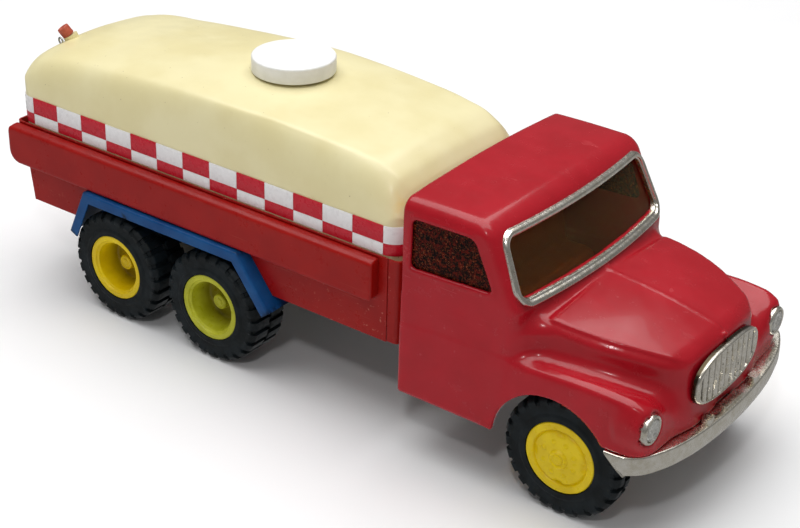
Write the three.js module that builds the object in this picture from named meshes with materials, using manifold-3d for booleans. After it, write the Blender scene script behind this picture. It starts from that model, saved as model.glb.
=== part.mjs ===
// Tin toy tanker truck, millimetres. +X is forward, +Y is the truck's left, +Z is up.
// The origin is on the ground, at the middle of the truck's length and width.
import * as THREE from 'three';
import { mergeVertices } from 'three/addons/utils/BufferGeometryUtils.js';
import Module from 'manifold-3d';

const wasm = await Module();
wasm.setup();

// ---------------------------------------------------------------- driving dimensions
const TYRE_RADIUS = 23;
const FRONT_AXLE_X = 116.1;
const MIDDLE_AXLE_X = -44.0;
const REAR_AXLE_X = -94.9;
const AXLE_RADIUS = 1.5;
const REAR_TYRE_SPAN = [26.8, 46.2]; // inner and outer face, from the centre plane
const FRONT_TYRE_SPAN = [36.5, 47.3];
const RIM_RADIUS = 13.6;

const SHEET = 0.8; // pressed tin
const SHELL = 1.4; // moulded cab
const GAP = 0.3; // between pieces that are only laid against each other
const SCREW_HOLE = 1.45;

const CHASSIS = { x0: -142, x1: 146, halfWidth: 17, top: 36, depth: 8.5, sheet: 1.2 };
const BRACKET = { halfWidth: 15.5, bottom: 18, sheet: 1.2, reach: 12 };

const TANK = { rear: -152, front: 41.5, halfWidth: 39.6, bottom: 55.6, corner: 7.5, wall: 1.2 };
const BAND = { bottom: 70.3, top: 81.7, thickness: 0.3, gap: 0.05 };
const DECK = { rear: -151.6, front: 41.2, halfWidth: 39.3, corner: 7, bottom: 54, top: 55.2 };
const APRON = { rear: -146, front: 37.3, outer: 40.6, bottom: 35.8, top: 69.8, rake: 2.2 };
const SKIRT = { rear: -154.5, front: 33.5, outer: 45.1, bottom: 52.5, shoulder: 67.3, top: 70.1 };
const MUDGUARD = { outer: 46.6, inner: 25.4, top: 52, lip: 4.4 };

const CAP = { x: -39.3, radius: 16.2, bottom: 108.8, top: 115 };
const NECK_RADIUS = 12;
const NECK_WALL = 1.2;

const CAB = { rear: 50, halfWidth: 49.6, bottom: 24.8, roof: 102.4, edge: 6 };
const SCREEN = { top: 97, bottom: 72, topX: 88, bottomX: 97, topBow: 2.6, bottomBow: 4 };
const ARCH = { x: 113.4, z: 23.1, radius: 23.6 };
const HEADLIGHT = { y: 44.4, z: 46.8, radius: 6 };
const BUMPER = { bottom: 28.8, top: 36.2, sheet: 1.2, ledge: 3.4 };

// ---------------------------------------------------------------- helpers
const SWEEP_X = new THREE.Matrix4().makeBasis(
  new THREE.Vector3(0, 1, 0), new THREE.Vector3(0, 0, 1), new THREE.Vector3(1, 0, 0));
const SWEEP_Y = new THREE.Matrix4().makeBasis(
  new THREE.Vector3(1, 0, 0), new THREE.Vector3(0, 0, 1), new THREE.Vector3(0, -1, 0));

// A closed solid from a geometry: shared vertices merged, slivers dropped, faces turned outward.
function solid(geometry) {
  const bare = new THREE.BufferGeometry();
  bare.setAttribute('position', geometry.getAttribute('position').clone());
  bare.setIndex(geometry.index ? geometry.index.clone() : null);
  const merged = mergeVertices(bare, 1e-4);
  const p = merged.getAttribute('position').array;
  const index = merged.index.array;
  const kept = [];
  let volume = 0;
  for (let i = 0; i < index.length; i += 3) {
    const [a, b, c] = [index[i], index[i + 1], index[i + 2]];
    if (a === b || b === c || c === a) continue;
    kept.push(a, b, c);
    const [A, B, C] = [a, b, c].map((k) => new THREE.Vector3(p[3 * k], p[3 * k + 1], p[3 * k + 2]));
    volume += A.dot(B.cross(C));
  }
  if (volume < 0) kept.reverse();
  const mesh = new wasm.Mesh({
    numProp: 3, vertProperties: new Float32Array(p), triVerts: new Uint32Array(kept),
  });
  return new wasm.Manifold(mesh);
}

function geometryOf(body) {
  const mesh = body.getMesh();
  const geometry = new THREE.BufferGeometry();
  geometry.setAttribute('position', new THREE.BufferAttribute(new Float32Array(mesh.vertProperties), 3));
  geometry.setIndex(new THREE.BufferAttribute(new Uint32Array(mesh.triVerts), 1));
  geometry.computeVertexNormals();
  return geometry;
}

const shapeOf = (points) => new THREE.Shape(points.map(([a, b]) => new THREE.Vector2(a, b)));

const extruded = (shape, depth, curveSegments) => new THREE.ExtrudeGeometry(
  shape, { depth, bevelEnabled: false, curveSegments });

// Outlines drawn in one plane and given a depth: (y, z) along X, (x, z) along Y, (x, y) along Z.
function alongX(shape, x0, x1, segments = 6) {
  return solid(extruded(shape, x1 - x0, segments).applyMatrix4(SWEEP_X).translate(x0, 0, 0));
}

function alongY(shape, y0, y1, segments = 6) {
  return solid(extruded(shape, y1 - y0, segments).applyMatrix4(SWEEP_Y).translate(0, y1, 0));
}

function alongZ(shape, z0, z1, segments = 6) {
  return solid(extruded(shape, z1 - z0, segments).translate(0, 0, z0));
}

const box = (x0, x1, y0, y1, z0, z1) => solid(
  new THREE.BoxGeometry(x1 - x0, y1 - y0, z1 - z0).translate((x0 + x1) / 2, (y0 + y1) / 2, (z0 + z1) / 2));

const rodY = (x, z, radius, y0, y1, segments = 16) => solid(
  new THREE.CylinderGeometry(radius, radius, y1 - y0, segments).translate(x, (y0 + y1) / 2, z));

function rodZ(x, y, radius, z0, z1, segments = 24) {
  const g = new THREE.CylinderGeometry(radius, radius, z1 - z0, segments).rotateX(Math.PI / 2);
  return solid(g.translate(x, y, (z0 + z1) / 2));
}

function rodX(y, z, radius, x0, x1, segments = 24) {
  const g = new THREE.CylinderGeometry(radius, radius, x1 - x0, segments).rotateZ(Math.PI / 2);
  return solid(g.translate((x0 + x1) / 2, y, z));
}

// A rounded rectangle as a shape, in whichever plane it is used.
function roundedRectangle(a0, a1, b0, b1, radius) {
  const s = new THREE.Shape();
  s.absarc(a1 - radius, b1 - radius, radius, 0, Math.PI / 2);
  s.absarc(a0 + radius, b1 - radius, radius, Math.PI / 2, Math.PI);
  s.absarc(a0 + radius, b0 + radius, radius, Math.PI, 1.5 * Math.PI);
  s.absarc(a1 - radius, b0 + radius, radius, 1.5 * Math.PI, 2 * Math.PI);
  return s;
}

// A solid through a row of closed sections with equal point counts. flat names the two
// coordinates in which a section's end cap is drawn.
function loft(sections, flat) {
  const count = sections[0].length;
  const positions = sections.flat(2);
  const index = [];
  for (let s = 0; s + 1 < sections.length; s += 1) {
    for (let i = 0; i < count; i += 1) {
      const j = (i + 1) % count;
      const [a, b, c, d] = [s * count + i, s * count + j, (s + 1) * count + j, (s + 1) * count + i];
      index.push(a, b, c, a, c, d);
    }
  }
  const capOf = (s, flip) => {
    const outline = sections[s].map((p) => new THREE.Vector2(p[flat[0]], p[flat[1]]));
    const faces = THREE.ShapeUtils.triangulateShape(outline, []);
    for (const [a, b, c] of faces) {
      const face = [a, b, c].map((k) => k + s * count);
      index.push(...(flip ? face.reverse() : face));
    }
  };
  const turn = THREE.ShapeUtils.isClockWise(
    sections[0].map((p) => new THREE.Vector2(p[flat[0]], p[flat[1]])));
  capOf(0, !turn);
  capOf(sections.length - 1, turn);
  const g = new THREE.BufferGeometry();
  g.setAttribute('position', new THREE.Float32BufferAttribute(positions, 3));
  g.setIndex(index);
  return solid(g);
}

// A closed ring: sections that lead back to the first one.
function ring(sections) {
  const count = sections[0].length;
  const index = [];
  for (let s = 0; s < sections.length; s += 1) {
    const next = (s + 1) % sections.length;
    for (let i = 0; i < count; i += 1) {
      const j = (i + 1) % count;
      const [a, b, c, d] = [s * count + i, s * count + j, next * count + j, next * count + i];
      index.push(a, b, c, a, c, d);
    }
  }
  const g = new THREE.BufferGeometry();
  g.setAttribute('position', new THREE.Float32BufferAttribute(sections.flat(2), 3));
  g.setIndex(index);
  return solid(g);
}

const turned = (profile, segments) => new THREE.LatheGeometry(
  profile.map(([r, h]) => new THREE.Vector2(r, h)), segments);

const mirrored = (geometry) => {
  const g = geometry.clone().scale(1, -1, 1);
  g.index.array.reverse();
  g.computeVertexNormals();
  return g;
};

const truck = new THREE.Group();
truck.name = 'tin_toy_tanker_truck';

const finish = (color, roughness, metalness = 0, opacity = 1) => new THREE.MeshStandardMaterial({
  color, roughness, metalness, opacity, transparent: opacity < 1,
});
const FINISH = {
  cabRed: finish(0xb82632, 0.25),
  bedRed: finish(0x86191e, 0.35, 0.2),
  cream: finish(0xf2e6b4, 0.35),
  white: finish(0xf4f4f2, 0.45),
  check: finish(0xd9c8c4, 0.4),
  blue: finish(0x1d4f86, 0.45, 0.2),
  yellow: finish(0xd0b410, 0.4),
  rubber: finish(0x1b2228, 0.7),
  chrome: finish(0xb9b6a6, 0.25, 0.9),
  steel: finish(0x9a9a98, 0.4, 0.9),
  amber: finish(0xc08a30, 0.15, 0, 0.6),
  clear: finish(0xe6e6e2, 0.1, 0, 0.7),
  coral: finish(0xb5503c, 0.6),
  brown: finish(0x6e2a1e, 0.6),
};

function add(name, geometry, material, parent = truck) {
  const mesh = new THREE.Mesh(geometry, material);
  mesh.name = name;
  parent.add(mesh);
  return mesh;
}

const addSolid = (name, body, material, parent) => add(name, geometryOf(body), material, parent);

// The left-hand piece is drawn, and the right-hand one is its mirror image.
function addPair(name, body, material) {
  const left = geometryOf(body);
  add(`${name}_left`, left, material);
  add(`${name}_right`, mirrored(left), material);
}

// ---------------------------------------------------------------- chassis
const SCREW_X = {
  bearer_rear: -135, bearer_middle: -69.5, bearer_front: 22, floor_rear: 60, floor_front: 82,
};

function channel(x0, x1, halfWidth, bottom, top, sheet) {
  const outline = shapeOf([
    [-halfWidth, bottom], [-halfWidth + sheet, bottom], [-halfWidth + sheet, top - sheet],
    [halfWidth - sheet, top - sheet], [halfWidth - sheet, bottom], [halfWidth, bottom],
    [halfWidth, top], [-halfWidth, top],
  ]);
  return alongX(outline, x0, x1);
}

function chassisFrame() {
  let body = channel(CHASSIS.x0, CHASSIS.x1, CHASSIS.halfWidth, CHASSIS.top - CHASSIS.depth,
    CHASSIS.top, CHASSIS.sheet);
  for (const x of Object.values(SCREW_X)) {
    body = body.subtract(rodZ(x, 0, SCREW_HOLE, CHASSIS.top - 3, CHASSIS.top + 1, 12));
  }
  return body;
}

function axleBracket(x0, x1, axles) {
  const top = CHASSIS.top - CHASSIS.sheet - 0.1;
  let body = channel(x0, x1, BRACKET.halfWidth, BRACKET.bottom, top, BRACKET.sheet);
  for (const x of axles) body = body.subtract(rodY(x, TYRE_RADIUS, AXLE_RADIUS + 0.25, -20, 20));
  const clear = BRACKET.halfWidth + 1;
  const open = box(x0 + 8, x1 - 8, -clear, clear, BRACKET.bottom - 1, 19.5);
  for (const x of Object.values(SCREW_X)) {
    if (x > x0 && x < x1) body = body.subtract(rodZ(x, 0, 4, top - 3, top + 1, 12));
  }
  return body.subtract(open);
}

addSolid('chassis_frame', chassisFrame(), FINISH.steel);
const bogieBracket = axleBracket(
  REAR_AXLE_X - BRACKET.reach, MIDDLE_AXLE_X + BRACKET.reach, [REAR_AXLE_X, MIDDLE_AXLE_X]);
const frontAxleBracket = axleBracket(
  FRONT_AXLE_X - BRACKET.reach, FRONT_AXLE_X + BRACKET.reach, [FRONT_AXLE_X]);
addSolid('bogie_bracket', bogieBracket, FINISH.steel);
addSolid('front_axle_bracket', frontAxleBracket, FINISH.steel);

// ---------------------------------------------------------------- bed
const BEARER = { halfLength: 5, halfWidth: 21, sheet: 1 };

function deckBearer(x) {
  const [bottom, top] = [CHASSIS.top + 0.1, DECK.bottom - 0.1];
  const outline = roundedRectangle(x - BEARER.halfLength, x + BEARER.halfLength, bottom, top, 1.5);
  const inside = BEARER.halfLength - BEARER.sheet;
  outline.holes.push(
    roundedRectangle(x - inside, x + inside, bottom + BEARER.sheet, top - BEARER.sheet, 0.6));
  return alongY(outline, -BEARER.halfWidth, BEARER.halfWidth, 3)
    .subtract(rodZ(x, 0, SCREW_HOLE, bottom - 1, bottom + 3, 12));
}

for (const place of ['rear', 'middle', 'front']) {
  addSolid(`deck_bearer_${place}`, deckBearer(SCREW_X[`bearer_${place}`]), FINISH.steel);
}

const deckPlan = roundedRectangle(
  DECK.rear, DECK.front, -DECK.halfWidth, DECK.halfWidth, DECK.corner);
addSolid('bed_deck', alongZ(deckPlan, DECK.bottom, DECK.top, 4), FINISH.bedRed);

// The well that the mudguard lines: the line of the mudguard's outside, from rear foot to front foot.
const WELL = [[-119.6, 32.4], [-110.6, MUDGUARD.top], [-29.2, MUDGUARD.top], [-13.4, 31.4]];

// The same line moved outward by a distance, with both feet carried on downward by a length.
function wellShape(grow, longer = 0) {
  const line = WELL.map(([x, z]) => new THREE.Vector2(x, z));
  const sides = line.slice(1).map((p, i) => {
    const along = p.clone().sub(line[i]).normalize();
    const out = new THREE.Vector2(-along.y, along.x);
    return { along, at: line[i].clone().addScaledVector(out, grow) };
  });
  const meet = (a, b) => {
    const t = b.at.clone().sub(a.at).cross(b.along) / a.along.cross(b.along);
    return a.at.clone().addScaledVector(a.along, t);
  };
  const last = sides[2];
  const span = line[3].distanceTo(line[2]);
  return new THREE.Shape([
    sides[0].at.clone().addScaledVector(sides[0].along, -longer), meet(sides[0], sides[1]),
    meet(sides[1], last), last.at.clone().addScaledVector(last.along, span + longer),
  ]);
}

function apron() {
  const outline = shapeOf([
    [APRON.rear, APRON.bottom], [APRON.front, APRON.bottom], [APRON.front, APRON.top],
    [APRON.rear - APRON.rake, APRON.top], [APRON.rear - APRON.rake, SKIRT.bottom],
  ]);
  return alongY(outline, APRON.outer - SHEET, APRON.outer).subtract(alongY(wellShape(GAP, 6), 30, 50));
}
addPair('apron', apron(), FINISH.bedRed);

function sideSkirt() {
  const inner = APRON.outer + 0.15;
  const profile = (inset, open) => shapeOf([
    [inner - open, SKIRT.bottom + inset], [SKIRT.outer - inset, SKIRT.bottom + inset],
    [SKIRT.outer - inset, SKIRT.shoulder - inset / 2],
    [SKIRT.outer - 0.7 - inset / 2, SKIRT.shoulder + 0.9 - inset],
    [inner - open, SKIRT.top - inset * 1.2],
  ]);
  const side = roundedRectangle(SKIRT.rear, SKIRT.front, SKIRT.bottom - 1, SKIRT.top + 4, 4);
  const round = alongY(side, 30, 60).intersect(box(-200, 200, 30, 60, SKIRT.bottom, 80));
  const outer = alongX(profile(0, 0), SKIRT.rear, SKIRT.front).intersect(round);
  return outer.subtract(alongX(profile(SHEET, 1), SKIRT.rear + SHEET, SKIRT.front - SHEET));
}
addPair('side_skirt', sideSkirt(), FINISH.bedRed);

// An end wall: a flat sheet whose ends turn round the bed's corners.
function endWall(outerX, returnX, corner, z0, z1) {
  const sign = Math.sign(outerX - returnX);
  const strip = (inset) => {
    const x1 = outerX - sign * inset;
    const r = corner - inset;
    const y = APRON.outer - inset;
    const points = [[returnX, -y]];
    for (let k = 0; k <= 5; k += 1) {
      const t = (k / 5) * Math.PI / 2;
      points.push([x1 - sign * r * (1 - Math.sin(t)), -y + r * (1 - Math.cos(t))]);
    }
    const half = points.map(([x, v]) => [x, -v]).reverse();
    return [...points, ...half];
  };
  const outline = strip(0);
  const inside = strip(SHEET).reverse();
  return alongZ(shapeOf([...outline, ...inside]), z0, z1);
}
const frontWall = endWall(42.9, APRON.front + GAP, 5, CHASSIS.top + GAP, APRON.top);
const tailboard = endWall(-153.4, APRON.rear - APRON.rake - GAP, 4.8, SKIRT.bottom, APRON.top);
const valance = box(-147, -147 + SHEET, -39.4, 39.4, APRON.bottom, SKIRT.bottom - GAP);
addSolid('bed_front_wall', frontWall, FINISH.bedRed);
addSolid('tailboard', tailboard, FINISH.bedRed);
addSolid('rear_valance', valance, FINISH.bedRed);

function mudguard() {
  const hoop = (y0, depth) => alongY(wellShape(0), y0, MUDGUARD.outer)
    .subtract(alongY(wellShape(-depth, 6), y0 - 1, MUDGUARD.outer + 1));
  return hoop(MUDGUARD.inner, 1).add(hoop(MUDGUARD.outer - SHEET, MUDGUARD.lip));
}
addPair('mudguard', mudguard(), FINISH.blue);

// ---------------------------------------------------------------- tank
// Each row: x, height at the centre, crease distance from the centre, crease height,
// and the pull of the curve from the crease down to the side.
const TANK_ROWS = [
  [-152.0, 90.5, 21.0, 89.0, 34.0, 88.0],
  [-150.6, 94.4, 23.0, 92.7, 36.5, 91.5],
  [-147.6, 96.9, 25.0, 95.2, 38.0, 93.8],
  [-142.0, 98.8, 27.0, 97.0, 38.6, 95.4],
  [-115.0, 102.8, 29.5, 100.4, 38.8, 98.2],
  [-90.0, 105.6, 31.5, 102.8, 39.0, 99.8],
  [-65.0, 107.8, 33.5, 104.7, 39.2, 101.0],
  [-43.0, 108.6, 35.0, 105.4, 39.3, 101.4],
  [-23.0, 107.4, 33.6, 104.8, 39.2, 100.6],
  [-2.0, 105.2, 32.6, 103.3, 39.1, 99.2],
  [18.0, 102.6, 31.8, 101.2, 38.9, 97.2],
  [30.0, 100.2, 30.8, 99.4, 38.5, 95.6],
  [36.5, 97.2, 29.6, 96.4, 37.6, 93.0],
  [40.0, 92.6, 28.0, 91.8, 35.5, 88.8],
  [41.6, 85.5, 26.0, 85.0, 33.5, 83.6],
];
const TANK_SIDE_TOP = 82;

const curve = (a, b, c, steps) => new THREE.QuadraticBezierCurve(
  new THREE.Vector2(...a), new THREE.Vector2(...b), new THREE.Vector2(...c)).getPoints(steps);

function tankForm(inset) {
  const sections = TANK_ROWS.map(([x, centre, creaseY, creaseZ, pullY, pullZ]) => {
    const side = TANK.halfWidth + 0.6;
    const crown = curve([0, centre], [creaseY / 2, centre], [creaseY, creaseZ], 4);
    const shoulder = curve([creaseY, creaseZ], [pullY, pullZ], [side, TANK_SIDE_TOP], 5).slice(1);
    const half = [...crown, ...shoulder].map((p) => [p.x, p.y - inset]);
    half.push([side, 40]);
    const mirror = half.slice(1).reverse().map(([y, z]) => [-y, z]);
    const shrink = Math.max(0, (TANK.halfWidth - inset) / TANK.halfWidth);
    const along = (TANK.rear + TANK.front) / 2 + (x - (TANK.rear + TANK.front) / 2) * (1 - inset / 98);
    return [...half, ...mirror].map(([y, z]) => [along, z > 41 ? y * shrink : y, z]);
  });
  const plan = roundedRectangle(TANK.rear + inset, TANK.front - inset, -TANK.halfWidth + inset,
    TANK.halfWidth - inset, TANK.corner - inset);
  return loft(sections, [1, 2]).intersect(alongZ(plan, TANK.bottom - (inset > 0 ? 3 : 0), 120, 6));
}

const tankOutside = tankForm(0);

const tankHole = rodZ(CAP.x, 0, NECK_RADIUS + 0.2, 90, 120);
addSolid('tank_shell', tankOutside.subtract(tankForm(TANK.wall)).subtract(tankHole), FINISH.cream);

function checkBand() {
  const plan = (offset) => roundedRectangle(TANK.rear - offset, TANK.front + offset,
    -TANK.halfWidth - offset, TANK.halfWidth + offset, TANK.corner + offset);
  return alongZ(plan(BAND.gap + BAND.thickness), BAND.bottom, BAND.top, 6)
    .subtract(alongZ(plan(BAND.gap), BAND.bottom - 1, BAND.top + 1, 6));
}
addSolid('check_band', checkBand(), FINISH.check);

const aboutFiller = (profile) => solid(turned(profile, 24).rotateX(Math.PI / 2).translate(CAP.x, 0, 0));
addSolid('filler_neck', aboutFiller([
  [NECK_RADIUS, 104], [NECK_RADIUS, 108.9], [14, 108.9], [14, 109.7], [NECK_RADIUS, 109.7],
  [NECK_RADIUS, 112.2], [NECK_RADIUS - NECK_WALL, 112.2], [NECK_RADIUS - NECK_WALL, 104],
  [NECK_RADIUS, 104],
]), FINISH.cream);
addSolid('filler_cap', aboutFiller([
  [0, CAP.top - 1.4], [14.8, CAP.top - 1.4], [14.8, CAP.bottom], [CAP.radius, CAP.bottom],
  [CAP.radius, CAP.top - 1.6], [CAP.radius - 0.5, CAP.top - 0.5], [CAP.radius - 1.8, CAP.top],
  [0, CAP.top],
]), FINISH.white);

// The outlet at the tank's rear edge: a moulded boss, a stub of rubber hose and a wire eyelet.
const OUTLET = { x: -147.2, y: -12.5, z: 97.4 };
const outletTilt = new THREE.Matrix4().makeTranslation(OUTLET.x, OUTLET.y, OUTLET.z)
  .multiply(new THREE.Matrix4().makeRotationFromEuler(new THREE.Euler(0.25, -0.4, 0)));
const alongOutlet = (radius, z0, z1) => new THREE.CylinderGeometry(radius, radius, z1 - z0, 20)
  .rotateX(Math.PI / 2).translate(0, 0, (z0 + z1) / 2).applyMatrix4(outletTilt);
addSolid('outlet_boss', solid(alongOutlet(3.1, -4, 2.6)).subtract(tankForm(-GAP)), FINISH.cream);
const hoseBore = solid(alongOutlet(1.25, 4, 8));
addSolid('hose_stub', solid(alongOutlet(2.6, 2.75, 7)).subtract(hoseBore), FINISH.coral);
const eyelet = new THREE.TorusGeometry(1.3, 0.4, 6, 12).rotateX(Math.PI / 2)
  .translate(OUTLET.x - 1.6, OUTLET.y - 5.2, OUTLET.z + 0.9);
addSolid('wire_eyelet', solid(eyelet), FINISH.steel);

// ---------------------------------------------------------------- cab
// The windscreen's face: x at a height and a distance from the centre plane.
function screenX(y, z) {
  const t = Math.min(1, (SCREEN.top - z) / (SCREEN.top - SCREEN.bottom));
  const bow = 1 - Math.min(1, Math.abs(y) / 45) ** 2;
  const [top, bottom] = [SCREEN.topX + SCREEN.topBow * bow, SCREEN.bottomX + SCREEN.bottomBow * bow];
  return THREE.MathUtils.lerp(top, bottom, t);
}

// The rounding between the roof and the sloping face.
const BROW = { drop: 5.4, slope: THREE.MathUtils.degToRad(20) };
BROW.radius = BROW.drop / (1 - Math.sin(BROW.slope));

function passengerBox(inset, bottom) {
  const flatTo = CAB.halfWidth - CAB.edge;
  const stations = [-1, -0.66, -0.33, 0, 0.33, 0.66, 1].map((k) => [k * flatTo, 0]);
  for (let k = 1; k <= 4; k += 1) {
    const t = (k / 4) * Math.PI / 2;
    const r = CAB.edge - inset;
    const row = [flatTo + r * Math.sin(t), r * (1 - Math.cos(t))];
    stations.push(row);
    stations.unshift([-row[0], row[1]]);
  }
  const sections = stations.map(([y, e]) => {
    const rear = CAB.rear + inset + e * 0.25;
    const roof = CAB.roof - inset - e;
    const faceTop = screenX(y, roof - BROW.drop) - inset - e;
    const faceBottom = screenX(y, SCREEN.bottom) - inset - e;
    const round = (cx, cz, r, from, to, steps) => Array.from({ length: steps + 1 }, (_, k) => {
      const t = from + (k / steps) * (to - from);
      return [cx + r * Math.cos(t), y, cz + r * Math.sin(t)];
    });
    return [
      [rear, y, bottom], ...round(rear + 4, roof - 4, 4, Math.PI, Math.PI / 2, 3),
      ...round(faceTop - BROW.radius * Math.cos(BROW.slope), roof - BROW.radius, BROW.radius,
        Math.PI / 2, BROW.slope, 4),
      [faceBottom, y, SCREEN.bottom], [faceBottom, y, bottom],
    ];
  });
  return loft(sections, [0, 2]);
}

// Bonnet rows: x, half width, height at the centre.
const BONNET_ROWS = [
  [86, 41.0, 71.6], [104, 41.0, 71.2], [113, 40.3, 70.5], [122, 38.5, 69.5], [130, 35.8, 68.3],
  [136, 33.0, 67.0], [141, 30.2, 65.8], [145, 27.6, 64.6], [148, 25.2, 62.9], [149.4, 23.4, 61.7],
  [150, 22.0, 60.6],
];
// Wing rows: x, half width, height of the wing's top.
const WING_ROWS = [
  [86, 49.6, 55.4], [100, 49.8, 56.0], [115, 50.2, 56.4], [128, 50.4, 56.8], [136, 50.2, 56.6],
  [142, 49.2, 55.8], [146, 47.2, 53.4], [148.6, 43.6, 50.2], [150, 38.0, 46.0],
];

function bonnet(inset, bottom) {
  return loft(BONNET_ROWS.map(([x, width, centre]) => {
    const a = width - inset;
    const top = centre - inset;
    const shoulder = top - 1.8;
    const half = [[0, top], [a * 0.55, top - 0.7], [a - 4.5, shoulder], [a - 1.9, shoulder - 0.9],
      [a - 0.5, shoulder - 2.6], [a, shoulder - 5], [a + 0.5, bottom]];
    const place = x - (x > 140 ? inset : 0);
    return [...half, ...half.slice(1).reverse().map(([y, z]) => [-y, z])].map(([y, z]) => [place, y, z]);
  }), [1, 2]);
}

function wings(inset, bottom) {
  return loft(WING_ROWS.map(([x, width, height]) => {
    const a = width - inset;
    const top = height - inset;
    const half = [[0, top], [a - 5, top], [a - 1.6, top - 0.9], [a, top - 3], [a - 0.4, bottom]];
    const place = x - (x > 140 ? inset : 0);
    return [...half, ...half.slice(1).reverse().map(([y, z]) => [-y, z])].map(([y, z]) => [place, y, z]);
  }), [1, 2]);
}

const NOSE_BOTTOM = BUMPER.top + 0.4;
const SIDE_WINDOW = [[53.6, 94.1], [78.9, 94.6], [87.1, 77.0], [53.2, 75.4]];
const GRILLE = { y: 21.4, bottom: 37.4, top: 60.6, corner: 10.5, back: 150.3, face: 152.4 };

function screenShape(grow) {
  const s = SCREEN;
  return shapeOf([
    [-41.6 - grow, s.top - 2 + grow], [-43.4 - grow, s.bottom + 2.2 - grow],
    [43.4 + grow, s.bottom + 2.2 - grow], [41.6 + grow, s.top - 2 + grow],
  ]);
}

function cabShell() {
  let body = passengerBox(0, CAB.bottom).add(bonnet(0, 45)).add(wings(0, NOSE_BOTTOM));
  body = body.subtract(passengerBox(SHELL, 10)).subtract(bonnet(SHELL, 44)).subtract(wings(SHELL, 10));
  const arch = rodY(ARCH.x, ARCH.z, ARCH.radius, -60, 60, 48).intersect(box(80, 140, -60, 60, 10, 60));
  body = body.subtract(arch);
  body = body.subtract(alongX(screenShape(0), 80, 110));
  body = body.subtract(alongY(shapeOf(SIDE_WINDOW), -60, 60));
  body = body.subtract(alongX(roundedRectangle(-24, 24, 79, 93, 3), 45, 60));
  const notch = CHASSIS.halfWidth + 0.5;
  body = body.subtract(box(45, 54, -notch, notch, 10, CHASSIS.top + 0.5));
  for (const y of [-HEADLIGHT.y, HEADLIGHT.y]) {
    body = body.subtract(rodX(y, HEADLIGHT.z, HEADLIGHT.radius + 0.3, 143, 160));
  }
  return body;
}
addSolid('cab_shell', cabShell(), FINISH.cabRed);
const cabFloor = box(52, 90, -46.5, 46.5, CHASSIS.top + 0.2, CHASSIS.top + 1.4)
  .subtract(rodZ(SCREW_X.floor_rear, 0, SCREW_HOLE, 30, 40, 12))
  .subtract(rodZ(SCREW_X.floor_front, 0, SCREW_HOLE, 30, 40, 12));
addSolid('cab_floor', cabFloor, FINISH.steel);

function seatBench() {
  const s = new THREE.Shape();
  const floor = CHASSIS.top + 1.6;
  s.moveTo(54.5, floor);
  s.lineTo(76, floor);
  s.absarc(73, 52, 3, 0, Math.PI / 2);
  s.lineTo(63, 55);
  s.absarc(58.5, 72.5, 2, 0, Math.PI);
  return alongY(s, -38, 38, 5);
}
addSolid('seat_bench', seatBench(), FINISH.brown);

// The bright frame follows the windscreen opening on the bowed face.
function screenFrame() {
  const top = SCREEN.top - 0.4;
  const bottom = SCREEN.bottom + 0.8;
  const corner = 3.2;
  const path = [];
  const edge = (from, to, steps) => {
    for (let k = 0; k < steps; k += 1) {
      path.push([from[0] + (to[0] - from[0]) * (k / steps), from[1] + (to[1] - from[1]) * (k / steps)]);
    }
  };
  const [yt, yb] = [42.6, 44.6];
  edge([yt - corner, top], [-yt + corner, top], 10);
  edge([-yt + corner, top], [-yt, top - corner], 2);
  edge([-yt, top - corner], [-yb, bottom + corner], 3);
  edge([-yb, bottom + corner], [-yb + corner, bottom], 2);
  edge([-yb + corner, bottom], [yb - corner, bottom], 10);
  edge([yb - corner, bottom], [yb, bottom + corner], 2);
  edge([yb, bottom + corner], [yt, top - corner], 3);
  edge([yt, top - corner], [yt - corner, top], 2);
  const middle = (top + bottom) / 2;
  const width = 1.5;
  const sections = path.map(([y, z]) => {
    const out = new THREE.Vector2(y / 44, (z - middle) / 12);
    const push = (v) => Math.abs(v) ** 6 * Math.sign(v);
    const weight = new THREE.Vector2(push(out.x), push(out.y)).normalize();
    const point = (w, h) => {
      const [py, pz] = [y + weight.x * w, z + weight.y * w];
      return [screenX(py, pz) + h, py, pz];
    };
    return [point(-width, 0.35), point(width, 0.35), point(width, 1.4), point(width * 0.5, 2.2),
      point(-width * 0.5, 2.2), point(-width, 1.4)];
  });
  return ring(sections);
}
addSolid('windscreen_frame', screenFrame(), FINISH.chrome);

function screenGlazing() {
  const inset = SHELL + 0.4;
  const thickness = 0.8;
  const sections = [-42.2, -36, -24, -12, 0, 12, 24, 36, 42.2].map((y) => {
    const [z0, z1] = [SCREEN.bottom + 1, SCREEN.top - 1.2];
    return [[screenX(y, z0) - inset, y, z0], [screenX(y, z1) - inset, y, z1],
      [screenX(y, z1) - inset - thickness, y, z1], [screenX(y, z0) - inset - thickness, y, z0]];
  });
  return loft(sections, [0, 2]);
}
addSolid('windscreen_glazing', screenGlazing(), FINISH.amber);

const paneY = CAB.halfWidth - SHELL - 0.3;
const sidePane = shapeOf([[52.6, 94.9], [80, 95.4], [88, 75.6], [52.4, 74]]);
addPair('side_window', alongY(sidePane, paneY - SHEET, paneY), FINISH.amber);
const rearPaneX = CAB.rear + SHELL + GAP;
addSolid('rear_window', alongX(roundedRectangle(-26, 26, 77, 95, 3), rearPaneX, rearPaneX + SHEET),
  FINISH.amber);

const grilleOutline = roundedRectangle(-GRILLE.y, GRILLE.y, GRILLE.bottom, GRILLE.top, GRILLE.corner);
addSolid('grille', alongX(grilleOutline, GRILLE.back, GRILLE.face, 6), FINISH.chrome);

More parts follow.
